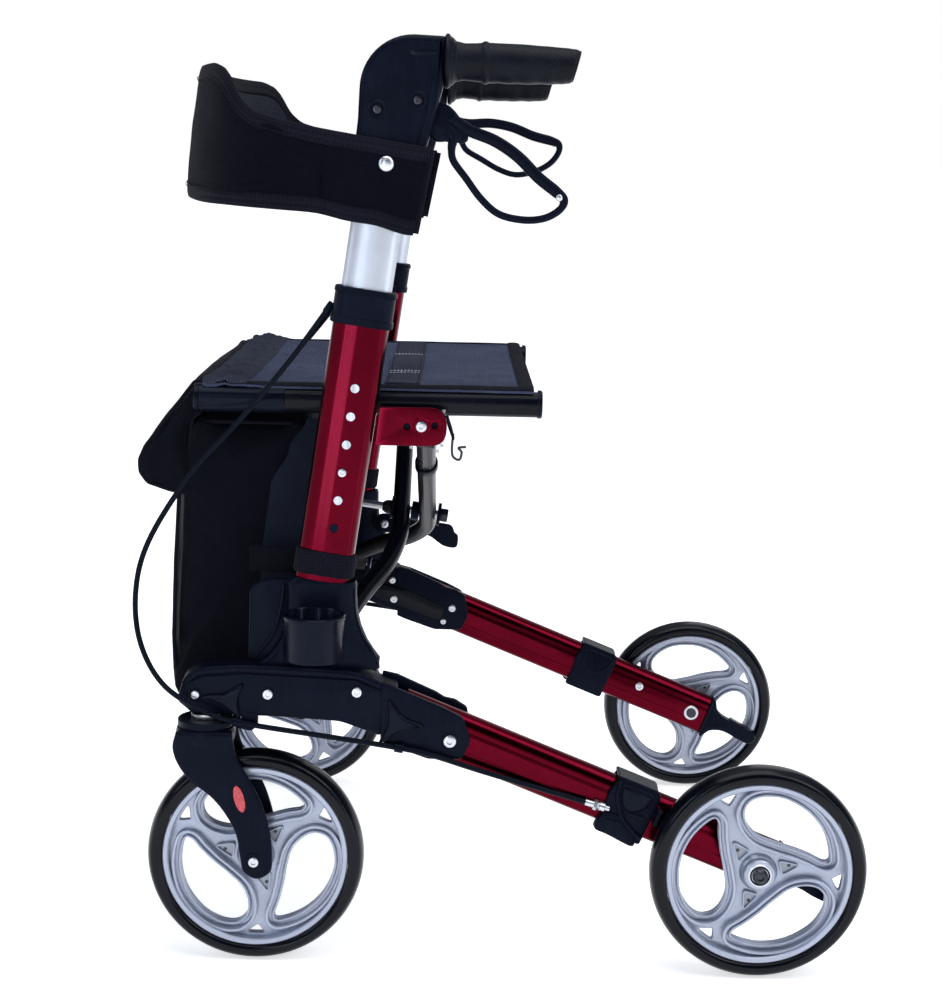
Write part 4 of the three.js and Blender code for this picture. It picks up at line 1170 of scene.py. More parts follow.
def make_fork(side):
    """The caster's moulded fork: two curved blades under a round crown, its stem, bearing and reflectors."""
    body = f"{side}_caster"
    centre = middle_of(f"caster_rim_{side}")
    y = centre.y
    blade = curve_through(
        [(-245, 221), (-248, 206), (-243, 190), (-231, 174), (-214, 161), (-200, 144), (-190, 124),
         (-186, 100), (-183, 89),
         (-171, 82.5), (-159, 89), (-157, 102), (-159, 127), (-167, 155), (-178, 177), (-190, 200),
         (-194, 221)], 6)
    for face in (-1, 1):
        low, high = sorted((y + face * 18.6, y + face * 25))
        extra = {"stands_for": [f"caster_fork_{side}"]} if face > 0 else {}
        plate(f"fork_blade_{side}_{face + 1}", blade, low, high, PLASTIC, body, side, rounding=3.1, sharp=60,
              **extra)
        lens_path = curve_through([
            (-187 + 4.6 * math.cos(a) - 3.1 * math.sin(a), 159.5 + 12.5 * math.sin(a) + 0.8 * math.cos(a))
            for a in (2 * math.pi * k / 16 for k in range(16))], 2, True)
        at = sorted((y + face * 24.6, y + face * 25.7))
        plate(f"reflector_{side}_{face + 1}", lens_path, *at, LENS, body, side, rounding=0.5)
    crown_profile = [(0, 203.5), (18, 203.5), (24, 205.5), (26.6, 210), (27, 217), (26, 221), (24, 222.4),
                     (0, 222.4)]
    stem_at = Vector((-220.5, y, 0))
    lathe(f"fork_crown_{side}", crown_profile, stem_at, (0, 0, 1), PLASTIC, body, side, segments=64)
    saddle = fillet([(-246, 204), (-195, 204), (-194, 221), (-246, 221)], 6, 5)
    plate(f"fork_saddle_{side}", saddle, y - 20, y + 20, PLASTIC, body, side, rounding=3)
    cup = [(0, 222), (24.5, 222), (25.4, 223), (25.4, 228.2), (24.4, 229.2), (15, 229.2), (0, 229.2)]
    lathe(f"fork_cup_{side}", cup, stem_at, (0, 0, 1), PLASTIC, body, side, segments=64)
    bearing = [(0, 229.2), (13, 229.2), (13.4, 230), (13.4, 233.4), (12.6, 234), (0, 234)]
    lathe(f"stem_bearing_{side}", bearing, stem_at, (0, 0, 1), STEEL, body, side, segments=40)
    for face in (-1, 1):
        at = (centre.x, y + face * 25.2, centre.z)
        recess = [(0, -1), (8.4, -1), (8.4, 0.3), (7.8, 0.7), (6.4, 0.6), (0, 0.2)]
        lathe(f"fork_washer_{side}_{face + 1}", recess, at, (0, face, 0), PLASTIC, body, side, segments=40)
        obj = screw(f"caster_bolt_{side}_{face + 1}", (at[0], at[1] + face * 0.6, at[2]), (0, face, 0), 5,
                    body, side,
                    proud=2.4)
        if face > 0:
            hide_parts(f"caster_axle_{side}")
    spindle = [(0, -18.4), (4, -18.4), (4, 18.4), (0, 18.4)]
    lathe(f"caster_spindle_{side}", spindle, centre, OUT, STEEL, body, side, segments=24)


# ---------- seat rails and brace ----------
def make_rail(side):
    body = f"{side}_rail"
    low, high = drawn(f"seat_rail_{side}")
    y, z = RAIL_Y, RAIL_Z
    path = [Vector((low.x, y, z)), Vector((high.x, y, z))]
    groove = [(a, b - (1.3 if b > 11.2 else 0)) for a, b in ring(12, 40)]
    sweep(f"rail_tube_{side}", path, groove, BLACK_METAL, body, side, sharp=30,
          stands_for=[f"seat_rail_{side}"])
    sleeve = [(12.05, 0), (12.9, 0.6), (12.9, 78), (12.05, 78.6), (12.05, 0)]
    lathe(f"rail_sleeve_{side}", sleeve, (low.x, y, z), (1, 0, 0), GLOSSY, body, side, segments=48)
    for end, x, way in (("front", low.x, -1), ("rear", high.x, 1)):
        cap = [(0, 0), (12.8, 0), (13, 0.8), (13, 3.2), (12, 4.4), (0, 4.6)]
        lathe(f"rail_plug_{end}_{side}", cap, (x, y, z), (way, 0, 0), GLOSSY, body, side, segments=48,
              stands_for=[f"rail_cap_{end}_{side}"])
    brace_x = -24 if side == "left" else -51
    hinge = Vector((brace_x, RAIL_Y, brace_height(brace_x, 1)))
    for i, offset in enumerate((-12, 12)):
        ear = fillet([(214, hinge.z - 12), (234, hinge.z - 12), (235, 516), (213, 516)], [9, 9, 1, 1], 6)
        add_ear(f"rail_ear_{side}_{i}", ear, hinge, brace_x + offset, 1.6, STEEL, body, side)
    pin = [(0, -17), (5.2, -17), (5.8, -16.2), (5.8, -13.8), (4, -13.8), (4, 13.8), (6.4, 13.8), (6.4, 17),
           (0, 17)]
    lathe(f"rail_pin_{side}", pin, hinge, HINGE_AXIS, STEEL, body, side, segments=24)


def make_brace(letter, brace_x, side, material):
    """A brace tube that rises towards the given side, with a shallow channel on each flank."""
    body = f"brace_{letter}"
    sign = SIGN[side]
    bend = [(0, 1), (0.08, 0.97), (0.2, 0.62), (0.3, 0.24), (0.4, 0.03), (0.5, 0), (0.75, 0), (1, 0)]
    route = []
    for t, share in bend:
        x = brace_x + share * (BRACE_LOW.x - brace_x)
        route.append(Vector((x, sign * RAIL_Y * (2 * t - 1), brace_height(x, t))))
    path = curve_through(route, 10)
    section = [(a - math.copysign(0.8 if abs(b) < 2.0 else 0.0, a), b) for a, b in ring(9, 36)]
    sweep(f"brace_tube_visual_{letter}", path, section, material, body, sharp=30, up=(1, 0, 0),
          stands_for=[f"brace_tube_{letter}"])
    for name, at in (("low", route[0]), ("high", route[-1])):
        eye = [(4.4, -9), (8.6, -9), (9.4, -8.2), (9.4, 8.2), (8.6, 9), (4.4, 9), (4.4, -9)]
        lathe(f"brace_eye_{letter}_{name}", eye, at, HINGE_AXIS, material, body, segments=36)
    start, end = path[-9], path[-6]
    sleeve = [(9.1, -7), (10.6, -7), (11, -6), (11, 6), (10.6, 7), (9.1, 7), (9.1, -7)]
    lathe(f"brace_sleeve_{letter}", sleeve, (start + end) / 2, end - start, PLASTIC, body, segments=40)


def make_brace_bolt():
    body = "brace_a"
    crossing = Vector((-37.5, 0, brace_height(-37.5, 0.5)))
    start = tipped(Vector((-70, 0, crossing.z)), crossing)
    parts = [
        ("shank", [(0, -70), (4, -70), (4, 66), (0, 66)], STEEL, 24),
        ("dome_nut", [(0, -2), (3.4, -1.4), (5.8, 1), (7, 4), (7.2, 9), (0, 9)], GREY_METAL, 32),
        ("spacer", [(4.2, 29.2), (9.4, 29.2), (9.8, 30), (9.8, 36.8), (9.4, 37.6), (4.2, 37.6), (4.2, 29.2)],
         PLASTIC, 40),
        ("washer_front", [(4.2, 8), (11.6, 8), (12, 8.6), (12, 10.4), (11.6, 11), (4.2, 11), (4.2, 8)],
         PLASTIC, 40),
        ("washer_back", [(4.2, 56.4), (11.6, 56.4), (12, 57), (12, 59.6), (4.2, 60.2), (4.2, 56.4)], PLASTIC,
         40),
        ("head", [(0, 60), (7.4, 60), (7.6, 60.6), (7.6, 66.4), (6.9, 67.4), (0, 67.6)], DARK_STEEL, 6),
    ]
    for name, profile, material, segments in parts:
        extra = {"stands_for": ["brace_bolt"]} if name == "shank" else {}
        lathe(f"brace_bolt_{name}", profile, start, HINGE_AXIS, material, body, segments=segments, sharp=25,
              **extra)


def make_latch():
    body, side = "fold_latch", "right"
    outline = curve_through(
        [(-84, 314), (-76, 311.5), (-50, 312), (-26, 309), (-15, 302), (-7, 297), (4, 295), (8.5, 298),
         (9, 309), (5, 313),
         (2, 320), (-6, 323), (-40, 327), (-70, 333), (-82, 332), (-87, 323)], 5, True)
    plate("latch_arm", outline, 227, 234, PLASTIC, body, side, rounding=1.8, stands_for=["fold_latch_right"])
    screw("latch_bolt", (-76, 226.8, 322), (0, -1, 0), 5, body, side, proud=2.4)
    washer_stud("latch_stud", (-24, 226.8, 318), (0, -1, 0), 3, body, side, GLOSSY)


# ---------- soft goods ----------
SEAT_FRONT, SEAT_BACK, SEAT_HALF = -227, 73, 232
STRAP_FRONT, STRAP_BACK, STRAP_HALF = -63, -31, 205


def soften(obj):
    """Gives a soft piece a mesh of its own."""
    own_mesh(obj)
    return obj


def seat_point(x, y):
    """Top of the woven seat: taut between the rails, dipping a little, with soft folds at its front edge."""
    across = y / RAIL_Y
    along = (x - SEAT_FRONT) / (SEAT_BACK - SEAT_FRONT)
    dip = -4.5 * (1 - across * across) * math.sin(math.pi * min(1, max(0, along))) ** 0.5
    ripple = 0.5 * noise.noise(Vector((x * 0.02, y * 0.03, 1.3)))
    front = max(0, 1 - (x - SEAT_FRONT) / 70)
    corner = max(0, abs(across) - 0.35)
    crease = 1 - abs(noise.noise(Vector((x * 0.035 + y * 0.012, y * 0.03, 5.0)))) * 3
    folds = front * (2.6 * noise.noise(Vector((x * 0.03, y * 0.028, 5.0))) + 5.0 * corner * max(0, crease))
    peaks = 0
    for px, py, lift, spread in ((-224, 221, 3.4, 3.6), (-206, 228, 4.6, 4.0)):
        peaks += lift * math.exp(-((x - px) ** 2 + (y - py) ** 2) / (2 * spread**2))
    over_rail = 0.012 * max(0, abs(y) - 218) ** 2
    return Vector((x, y, 533.4 + dip + ripple + folds + peaks - over_rail))


def make_sheet_grid(name, rows, columns, top, thickness, material, body):
    """A closed thin sheet from a grid of top points; top(i, j) gives a point."""
    points, cloth = [], []
    for layer in (0, 1):
        for i in range(rows):
            for j in range(columns):
                p = top(i / (rows - 1), j / (columns - 1))
                points.append(p - Vector((0, 0, thickness * layer)))
                cloth.append((p.x * MM, p.y * MM))
    return add_piece(name, points, sheet_faces(rows, columns), material, body, cloth=cloth, sharp=60)


def make_seat():
    body = "left_rail"

    def cover(u, v):
        return seat_point(SEAT_FRONT + (SEAT_BACK - SEAT_FRONT) * u, -SEAT_HALF + 2 * SEAT_HALF * v)

    cloth = make_sheet_grid("seat_cloth", 90, 120, cover, 1.8, SEAT_CLOTH, body)
    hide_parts("seat")
    soften(cloth)
    for name, start, end, rows, crumple, material in (
        ("front", SEAT_FRONT - 0.5, SEAT_FRONT + 39, 26, 2.2, STRAP),
        ("rear", SEAT_BACK - 13, SEAT_BACK + 0.5, 6, 0, BINDING),
    ):
        def hem(u, v, start=start, end=end, crumple=crumple):
            p = seat_point(start + (end - start) * u, -SEAT_HALF + 1 + 2 * (SEAT_HALF - 1) * v)
            crest = math.sin(math.pi * u)
            ridge = 1 - abs(noise.noise(Vector((p.x * 0.06 + p.y * 0.022, p.y * 0.02 - p.x * 0.03, 2.0)))) * 4
            return p + Vector((0, 0, 0.9 + 1.1 * crest ** 0.5 + crumple * max(0, ridge) * crest))
        soften(make_sheet_grid(f"seat_hem_{name}", rows, 130, hem, 1.6, material, body))
    for name, sign in (("near", -1), ("far", 1)):
        def edge(u, v, sign=sign):
            return seat_point(SEAT_FRONT + 12 + (SEAT_BACK - SEAT_FRONT - 24) * v,
                              sign * (213 + 18 * u)) + Vector((0, 0, 0.8))
        soften(make_sheet_grid(f"seat_edge_{name}", 5, 70, edge, 1.4, BINDING, body))
    make_seat_strap(body)


def make_seat_strap(body):
    """The lifting strap sewn across the middle of the seat, loose in the middle."""
    def strap(u, v):
        p = seat_point(STRAP_FRONT + (STRAP_BACK - STRAP_FRONT) * u, -STRAP_HALF + 2 * STRAP_HALF * v)
        loose = max(0, 1 - (abs(p.y) / 70) ** 2)
        slack = 7 * loose * (0.75 + 0.25 * math.sin(u * math.pi))
        return p + Vector((0, 0, 1.6 + slack + 0.4 * math.sin(u * math.pi)))

    soften(make_sheet_grid("seat_strap", 8, 110, strap, 1.4, STRAP, body))
    above = Vector((0, 0, 0.3))
    for row, y in enumerate((-92, -72, 72, 92)):
        line = [strap(u / 12, (y + STRAP_HALF) / (2 * STRAP_HALF)) + above for u in range(13)]
        stitch_line(f"strap_stitch_{row}", line, SILVER_THREAD, body, 3.2, 0.55)
    for row, u in enumerate((0.06, 0.94)):
        line = [strap(u, v / 100) + above for v in range(101)]
        stitch_line(f"strap_edge_stitch_{row}", line, DARK_THREAD, body, 3.6, 0.4)


def stitch_line(name, line, material, body, pitch=3.4, radius=0.45):
    """A row of separate thread stitches along a line."""
    points, faces = [], []
    spent, start = 0.0, line[0]
    for a, b in zip(line, line[1:]):
        step = (b - a).length
        if step < 1e-6:
            continue
        at = 0.0
        while at < step:
            here = a + (b - a) * (at / step)
            if spent >= pitch:
                add_stitch(points, faces, start, here, radius)
                start, spent = here, 0.0
            at += 0.4
            spent += 0.4
    obj = add_piece(name, points, faces, material, body, sharp=80)
    return soften(obj)


def add_stitch(points, faces, a, b, radius):
    """A bead of thread between two points, thicker in its middle."""
    along = b - a
    across = along.cross(Vector((0.3, 0.2, 1))).normalized()
    rise = across.cross(along).normalized()
    base = len(points)
    around = 6
    for t, share in ((0.08, 0.25), (0.25, 0.9), (0.6, 1.0), (0.8, 0.25)):
        for k in range(around):
            angle = 2 * math.pi * k / around
            offset = across * math.cos(angle) + rise * math.sin(angle)
            points.append(a + along * t + offset * radius * share)
    faces += [[base + k for k in face] for face in loft_faces(4, around)]


BAND_HALF = [(-24, 273), (-60, 273), (-110, 273), (-150, 271.5), (-180, 265), (-205, 248), (-223, 218),
             (-238, 168),
             (-248, 95), (-252, 0)]


def band_path():
    plan = [Vector((x, -y, 0)) for x, y in BAND_HALF]
    plan += [Vector((x, y, 0)) for x, y in BAND_HALF[-2::-1]]
    return curve_through(plan, 10)


def band_heights(share):
    """Bottom and top of the band. share is 0 at its ends and 1 at the middle of its front."""
    bottoms = [(0, 673), (0.12, 683), (0.25, 692), (0.4, 696), (0.6, 699), (0.8, 703), (1, 705)]
    tops = [(0, 745), (0.12, 753), (0.22, 760), (0.3, 767), (0.35, 773), (0.385, 784), (0.42, 802),
            (0.45, 811),
            (0.5, 815.5), (1, 816.5)]
    return tuple(blend_knots(k, share) for k in (bottoms, tops))


def blend_knots(knots, t):
    """The value at t between knots, eased where two knots differ much."""
    for (a, va), (b, vb) in zip(knots, knots[1:]):
        if t <= b:
            s = (t - a) / (b - a)
            s = s * s * (3 - 2 * s) if abs(vb - va) > 8 else s
            return va + (vb - va) * s
    return knots[-1][1]


def band_frames():
    """Along the band: point, outward direction, share, length so far, lower edge and upper edge."""
    path = band_path()
    lengths = [0.0]
    for a, b in zip(path, path[1:]):
        lengths.append(lengths[-1] + (b - a).length)
    total = lengths[-1]
    shares = [1 - abs(2 * length / total - 1) for length in lengths]
    edges = [band_heights(share) for share in shares]
    reach = 2
    frames = []
    for i, p in enumerate(path):
        along = (path[min(i + 1, len(path) - 1)] - path[max(i - 1, 0)]).normalized()
        outward = Vector((along.y, -along.x, 0))
        if outward.dot(p - Vector((-120, 0, 0))) < 0:
            outward = -outward
        around = edges[max(0, i - reach): i + reach + 1]
        bottom, top = (sum(edge[k] for edge in around) / len(around) for k in (0, 1))
        frames.append((p, outward, shares[i], lengths[i], bottom, top))
    return frames


def make_backrest():
    """A padded band around the back: crowned outside, ribbed inside, bound along its edges."""
    frames = band_frames()
    rows = 20
    points, cloth = [], []
    for p, outward, share, length, bottom, top in frames:
        for skin in (1, -1):
            for r in range(rows):
                v = r / (rows - 1) if skin > 0 else 1 - r / (rows - 1)
                edge = math.sin(math.pi * v) ** 0.35 if 0 < v < 1 else 0
                z = bottom + (top - bottom) * v
                swell = 1.3 + 4.0 * edge
                wrinkle = 1.5 * edge * noise.noise(Vector((p.x * 0.025, p.y * 0.02, z * 0.03 + 3 * skin)))
                crease = band_crease(p, z) if skin > 0 else 0
                points.append(leaned(p, z) + outward * (skin * swell + wrinkle + crease))
                cloth.append((length * MM, z * MM))
    faces = loft_faces(len(frames), 2 * rows)
    pad = add_piece("backrest_pad", points, faces, PAD_CLOTH, "left_handle", cloth=cloth, sharp=75,
                    stands_for=["backrest"])
    soften(pad)
    make_lining(frames)
    for name, level, sign in (("top", 1, 1), ("bottom", 0, -1)):
        make_binding(name, frames, level, sign)
    make_band_ends(frames)
    for side in ("left", "right"):
        stud = washer_stud(f"band_stud_{side}", (-62, 278.2, 732.5), OUT, 7, f"{side}_handle", side)


def leaned(p, z):
    """The band's front leans with the post, and its ends are cut back towards their lower corners."""
    front = min(1, max(0, (-120 - p.x) / 100))
    end = min(1, max(0, (p.x + 120) / 96))
    return Vector((p.x + 0.11 * (z - 762) * front - 0.19 * max(0, 745 - z) * end, p.y, z))


def band_crease(p, z):
    """Shallow folds pressed into the band's sides, where it flexes when the walker folds."""
    if abs(p.y) < 240:
        return 0
    first = math.exp(-(((z - 712 - 0.18 * (p.x + 180)) / 4) ** 2)) * math.exp(-(((p.x + 178) / 30) ** 2))
    second = math.exp(-(((p.x + 118 - 0.1 * (z - 720)) / 3.5) ** 2)) * math.exp(-(((z - 718) / 18) ** 2))
    return 4.5 * first - 4.0 * second


def make_lining(frames):
    """The mesh lining sewn inside the band's tall front, quilted in upright ribs."""
    spans = [f for f in frames if f[2] > 0.4]
    rows, rib = 16, 11
    points, cloth = [], []
    for layer in (0, 1):
        for p, outward, share, length, bottom, top in spans:
            fade = min(1, (share - 0.4) * 9)
            for r in range(rows):
                v = r / (rows - 1)
                z = bottom + 13 + (top - bottom - 26) * v
                swell = math.sin(math.pi * v) ** 0.4 if 0 < v < 1 else 0
                ribs = 1.3 * abs(math.sin(length / rib * math.pi)) * fade * swell
                depth = 5.6 + 0.9 * swell + ribs - 1.6 * layer
                points.append(leaned(p, z) - outward * depth)
                cloth.append((length * MM, z * MM))
    faces = sheet_faces(len(spans), rows)
    lining = add_piece("backrest_lining", points, faces, LINING, "left_handle", cloth=cloth, sharp=60)
    soften(lining)


def make_binding(name, frames, level, sign):
    """Folded tape over the band's edge, 12 mm deep, with a stitch line."""
    section = [(-3.2, -11), (-3.6, -2), (-2.6, 1.2), (0, 2.2), (2.6, 1.2), (3.6, -2), (3.2, -11),
               (2.2, -11.4), (1.8, -2), (0, 0.4),
               (-1.8, -2), (-2.2, -11.4)]
    points, cloth, stitches = [], [], []
    for p, outward, share, length, *heights in frames:
        z = heights[level]
        for k, (a, b) in enumerate(section):
            grow = 1.5 if abs(b) > 5 else 1.0
            points.append(leaned(p, z + sign * b) + outward * a * grow)
            cloth.append((length * MM, k * 0.003))
        stitches.append(leaned(p, z - sign * 9) + outward * 5.6)
    faces = loft_faces(len(frames), len(section))
    tape = add_piece(f"backrest_binding_{name}", points, faces, BINDING, "left_handle", cloth=cloth, sharp=70)
    soften(tape)
    stitch_line(f"backrest_stitch_{name}", stitches, DARK_THREAD, "left_handle", 4.0, 0.4)


def make_band_ends(frames):
    """Upright seams that close the band's two ends."""
    for name, index in (("left", 0), ("right", -1)):
        p, outward, share, length, bottom, top = frames[index]
        path = [leaned(p, bottom + (top - bottom) * t / 8) for t in range(9)]
        seam = sweep(f"band_end_{name}", path, ring(2.2, 14, 4.6), BINDING, "left_handle", up=(1, 0, 0),
                     sharp=60)
        soften(seam)


def rounded_slab(name, outline, half, material, body, puff, rounding=10, wrinkle=1.5, cells=44):
    """A stuffed form whose side view is outline, crowned over its width; half is half its width."""
    loop = fillet(outline, rounding, 6)
    loop = resample(loop, 96)
    centre = sum((Vector((p.x, p.y)) for p in loop), Vector((0, 0))) / len(loop)
    points, cloth, travelled = [], [], [0.0]
    for a, b in zip(loop, loop[1:]):
        travelled.append(travelled[-1] + (b - a).length)
    for j in range(cells + 1):
        v = -1 + 2 * j / cells
        y = half * math.sin(v * math.pi / 2) if abs(v) < 1 else half * v
        edge = 1 - abs(v) ** 10
        swell = puff * (1 - v * v)
        for k, p in enumerate(loop):
            normal = (Vector((p.x, p.y)) - centre).normalized()
            inset = rounding * 0.6 * (1 - edge)
            fold = wrinkle * noise.noise(Vector((p.x * 0.018, y * 0.016, p.y * 0.02)))
            spot = Vector((p.x, p.y)) + normal * (swell - inset + fold)
            points.append(Vector((spot.x, y, spot.y)))
            cloth.append((travelled[k] * MM, y * MM))
    size = len(loop)
    faces = loft_faces(cells + 1, size, "open")
    for j, face_y in ((0, -1), (cells, 1)):
        add_side_panel(points, faces, cloth, j * size, size, face_y, wrinkle)
    return add_piece(name, points, faces, material, body, cloth=cloth, sharp=70)


def add_side_panel(points, faces, cloth, start, size, sign, wrinkle):
    """Closes a rounded slab's side with rings that shrink to its middle, so the panel can wrinkle."""
    rim = [points[start + k].copy() for k in range(size)]
    centre = sum(rim, Vector()) / size
    rings = 14
    last = [start + k for k in range(size)]
    for i in range(1, rings):
        share = 1 - i / rings
        ids = []
        for k in range(size):
            p = centre + (rim[k] - centre) * share
            depth = wrinkle * 1.6 * noise.noise(Vector((p.x * 0.022, 9.0, p.z * 0.02)))
            p.y = rim[k].y + sign * (2.5 * (1 - share * share) + depth)
            ids.append(len(points))
            points.append(p)
            cloth.append((p.x * MM, p.z * MM))
        for k in range(size):
            n = (k + 1) % size
            faces.append((last[k], last[n], ids[n], ids[k]))
        last = ids
    faces.append(last)


def resample(loop, count):
    """A closed loop again with count points, evenly spaced along it."""
    pts = [Vector(p) for p in loop]
    pts.append(pts[0])
    lengths = [0.0]
    for a, b in zip(pts, pts[1:]):
        lengths.append(lengths[-1] + (b - a).length)
    out, i = [], 0
    for k in range(count):
        target = lengths[-1] * k / count
        while lengths[i + 1] < target:
            i += 1
        span = lengths[i + 1] - lengths[i]
        t = (target - lengths[i]) / span if span > 1e-9 else 0
        out.append(pts[i].lerp(pts[i + 1], t))
    return out


BAG_OUTLINE = [(-128, 497), (-238, 497), (-254, 440), (-259, 363), (-260, 287), (-256, 240), (-248, 221),
               (-160, 221),
               (-130, 240)]
FLAP_OUTLINE = [(-230, 505), (-230, 531), (-236, 535), (-251, 516), (-273, 489), (-286, 470), (-291.5, 456),
                (-290.5, 444), (-283, 434),
                (-262, 427), (-243, 423.5), (-240, 432), (-239, 500)]


def billow(obj, pressure, cap, growth, frames=18):
    """Lets a closed piece of cloth fill and crease, moving no point further than cap millimetres."""
    modifier = obj.modifiers.new("cloth", "CLOTH")
    settings = modifier.settings
    settings.quality = 6
    settings.mass = 0.25
    settings.tension_stiffness = 20
    settings.compression_stiffness = 20
    settings.shear_stiffness = 8
    settings.bending_stiffness = 0.6
    settings.shrink_min = -growth
    settings.use_pressure = True
    settings.uniform_pressure_force = pressure
    settings.effector_weights.gravity = 0
    modifier.collision_settings.use_collision = False
    start = [v.co.copy() for v in obj.data.vertices]
    for frame_number in range(1, frames + 1):
        bpy.context.scene.frame_set(frame_number)
    solved = obj.evaluated_get(bpy.context.evaluated_depsgraph_get()).data
    moved = [v.co.copy() for v in solved.vertices]
    obj.modifiers.remove(modifier)
    bpy.context.scene.frame_set(1)
    for vertex, before, after in zip(obj.data.vertices, start, moved):
        step = after - before
        limit = cap * MM
        vertex.co = before + step * min(1, limit / max(step.length, 1e-9))


def make_bag():
    body = "left_frame"
    bag = rounded_slab("bag_body", BAG_OUTLINE, 201, BAG_CLOTH, body, 0.5)
    billow(bag, 1.2, 5.0, 0.05)
    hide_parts("bag")
    soften(bag)
    flap = rounded_slab("bag_flap_pouch", FLAP_OUTLINE, 203, BAG_CLOTH, body, 0.5, rounding=9, wrinkle=0.9)
    billow(flap, 1.0, 3.0, 0.03)
    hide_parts("bag_flap")
    soften(flap)
    for sign, name in ((-1, "left"), (1, "right")):
        for piece, outline, half in (("bag", BAG_OUTLINE, 203.5), ("flap", FLAP_OUTLINE, 205.5)):
            loop = resample(fillet(outline, 9, 6), 120)
            path = [Vector((p.x, sign * (half - 2.5), p.y)) for p in loop]
            pipe = sweep(f"{piece}_piping_{name}", offset_piping(path, 1.4), ring(1.9, 10), BINDING, body,
                         up=OUT,
                         closed=True, sharp=70)
            soften(pipe)
    make_gussets(body)
    make_bag_straps()


def offset_piping(path, grow):
    """A bag's outline drawn in to where its piping is sewn."""
    centre = sum(path, Vector()) / len(path)
    out = []
    for p in path:
        away = p - centre
        away.y = 0
        out.append(p + away.normalized() * (grow - 4.2))
    return out


def make_bag_straps():
    """Fabric straps that hold the bag to each post's foot."""
    for side in ("left", "right"):
        outer = bar_section(53.4, 27.4, 13, 8)
        loops = []
        for depth, grow in ((209, 0.2), (210, 1.5), (229, 1.7), (231, 0.3)):
            loops.append([on_post(depth, a * (1 + grow / 30), b * (1 + grow / 16)) for a, b in outer])
        for depth in (231, 209):
            loops.append([on_post(depth, a, b) for a, b in bar_section(51.6, 25.6, 12, 8)])
        cloth = [(p.x * MM, p.z * MM) for loop in loops for p in loop]
        add_loft(f"post_strap_{side}", loops, BINDING, f"{side}_frame", side, "joined", cloth=cloth, sharp=60)
        panel = fillet([(-183, 362), (-136, 360), (-134, 383), (-183, 386)], 3, 3)
        obj = plate(f"post_strap_tail_{side}", panel, 236, 239, BAG_CLOTH, f"{side}_frame", side,
                    rounding=0.8)


def make_gussets(body):
    """The bag's side panels: thinner, slightly shiny nylon that reaches back towards each post; their lighter
    blue-grey colour is partly the nylon's own and partly a painted sheen.
    """
    fronts = [(290, -178), (340, -176), (373, -175), (436, -167), (472, -150), (500, -134)]
    for sign, name in ((-1, "left"), (1, "right")):
        def panel(u, v, sign=sign):
            z = 290 + 210 * v
            front, rear = blend_knots(fronts, z), -137 + 20 * v
            x = front + (rear - front) * u
            fold = 1.2 * noise.noise(Vector((x * 0.03, 4.0 + sign, z * 0.012)))
            return Vector((x, sign * (211 + 2.5 * u + fold), z))
        points, cloth = [], []
        rows, columns = 36, 14
        for layer in (0, 1):
            for i in range(rows):
                for j in range(columns):
                    p = panel(j / (columns - 1), i / (rows - 1))
                    points.append(p - Vector((0, sign * 1.2 * layer, 0)))
                    cloth.append((p.x * MM, p.z * MM))
        faces = sheet_faces(rows, columns)
        obj = add_piece(f"bag_gusset_{name}", points, faces, GUSSET_TONE_AND_SHEEN, body, cloth=cloth, sharp=60)
        soften(obj)


def make_cup():
    """The cane cup: a tapered ring with a rolled lip and its fixing screw."""
    low, high = drawn("cane_cup_left")
    centre = middle_of("cane_cup_left")
    height = (high.z - low.z) / 2
    profile = [(24.6, -height + 1), (25.4, -height), (26.6, -height), (27.2, -height + 1), (27.7, height - 5),
               (28.4, height - 4), (28.5, height - 1), (27.6, height), (26.4, height), (25.6, height - 1.2),
               (24.6, -height + 1)]
    lathe("cane_ring", profile, centre, (0, 0, 1), GLOSSY, "left_frame", "left", segments=72, sharp=40,
          stands_for=["cane_cup_left"])
    screw("cup_screw", (-121, 268.4, 331), OUT, 4, "left_frame", "left", proud=1.6)


def make_hanging_hook():
    """Wire hook and webbing under the seat, which keep the folded walker shut."""
    body = "left_rail"
    strap = curve_through([(-6, 214, 509), (-4, 211, 500), (-1, 208, 491), (1, 207, 484)], 6)
    sweep("hook_strap", strap, bar_section(14, 2.4, 0.9, 3), BINDING, body, "left", up=(1, 0, 0.1), sharp=60)
    wire = curve_through([Vector(p) for p in (
        (1, 207, 488), (0, 207, 476), (1, 207, 467), (7, 207, 464), (9, 207, 471), (6, 207, 475),
        (13, 207, 476))], 6)
    sweep("hook_wire", wire, ring(1.2, 10), DARK_STEEL, body, "left", up=OUT, sharp=60)


# ---------- camera, light and floor ----------
def make_camera():
    """The camera stands off the walker's left side, a little above it."""
    pitch, yaw, roll = math.radians(9.747), math.radians(0.593), math.radians(-1.304)
    ahead = Vector((math.sin(yaw) * math.cos(pitch), math.cos(yaw) * math.cos(pitch), -math.sin(pitch)))
    level = Vector((math.cos(yaw), -math.sin(yaw), 0))
    down = ahead.cross(level)
    right = math.cos(roll) * level + math.sin(roll) * down
    below = -math.sin(roll) * level + math.cos(roll) * down
    camera = bpy.data.objects.new("camera", bpy.data.cameras.new("camera"))
    camera.data.sensor_width = 36
    camera.data.lens = 70.9
    facing = Matrix((right, -below, -ahead)).transposed().to_4x4()
    camera.matrix_world = Matrix.Translation(world((0, -2009, 736))) @ facing
    bpy.context.scene.collection.objects.link(camera)
    bpy.context.scene.camera = camera


def make_light(name, at, towards, size, power, color=(1, 1, 1)):
    data = bpy.data.lights.new(name, "AREA")
    data.shape = "RECTANGLE"
    data.size, data.size_y = size
    data.energy = power
    data.color = color
    light = bpy.data.objects.new(name, data)
    direction = Vector(towards) - Vector(at)
    light.rotation_euler = direction.to_track_quat("-Z", "Y").to_euler()
    light.location = at
    bpy.context.scene.collection.objects.link(light)


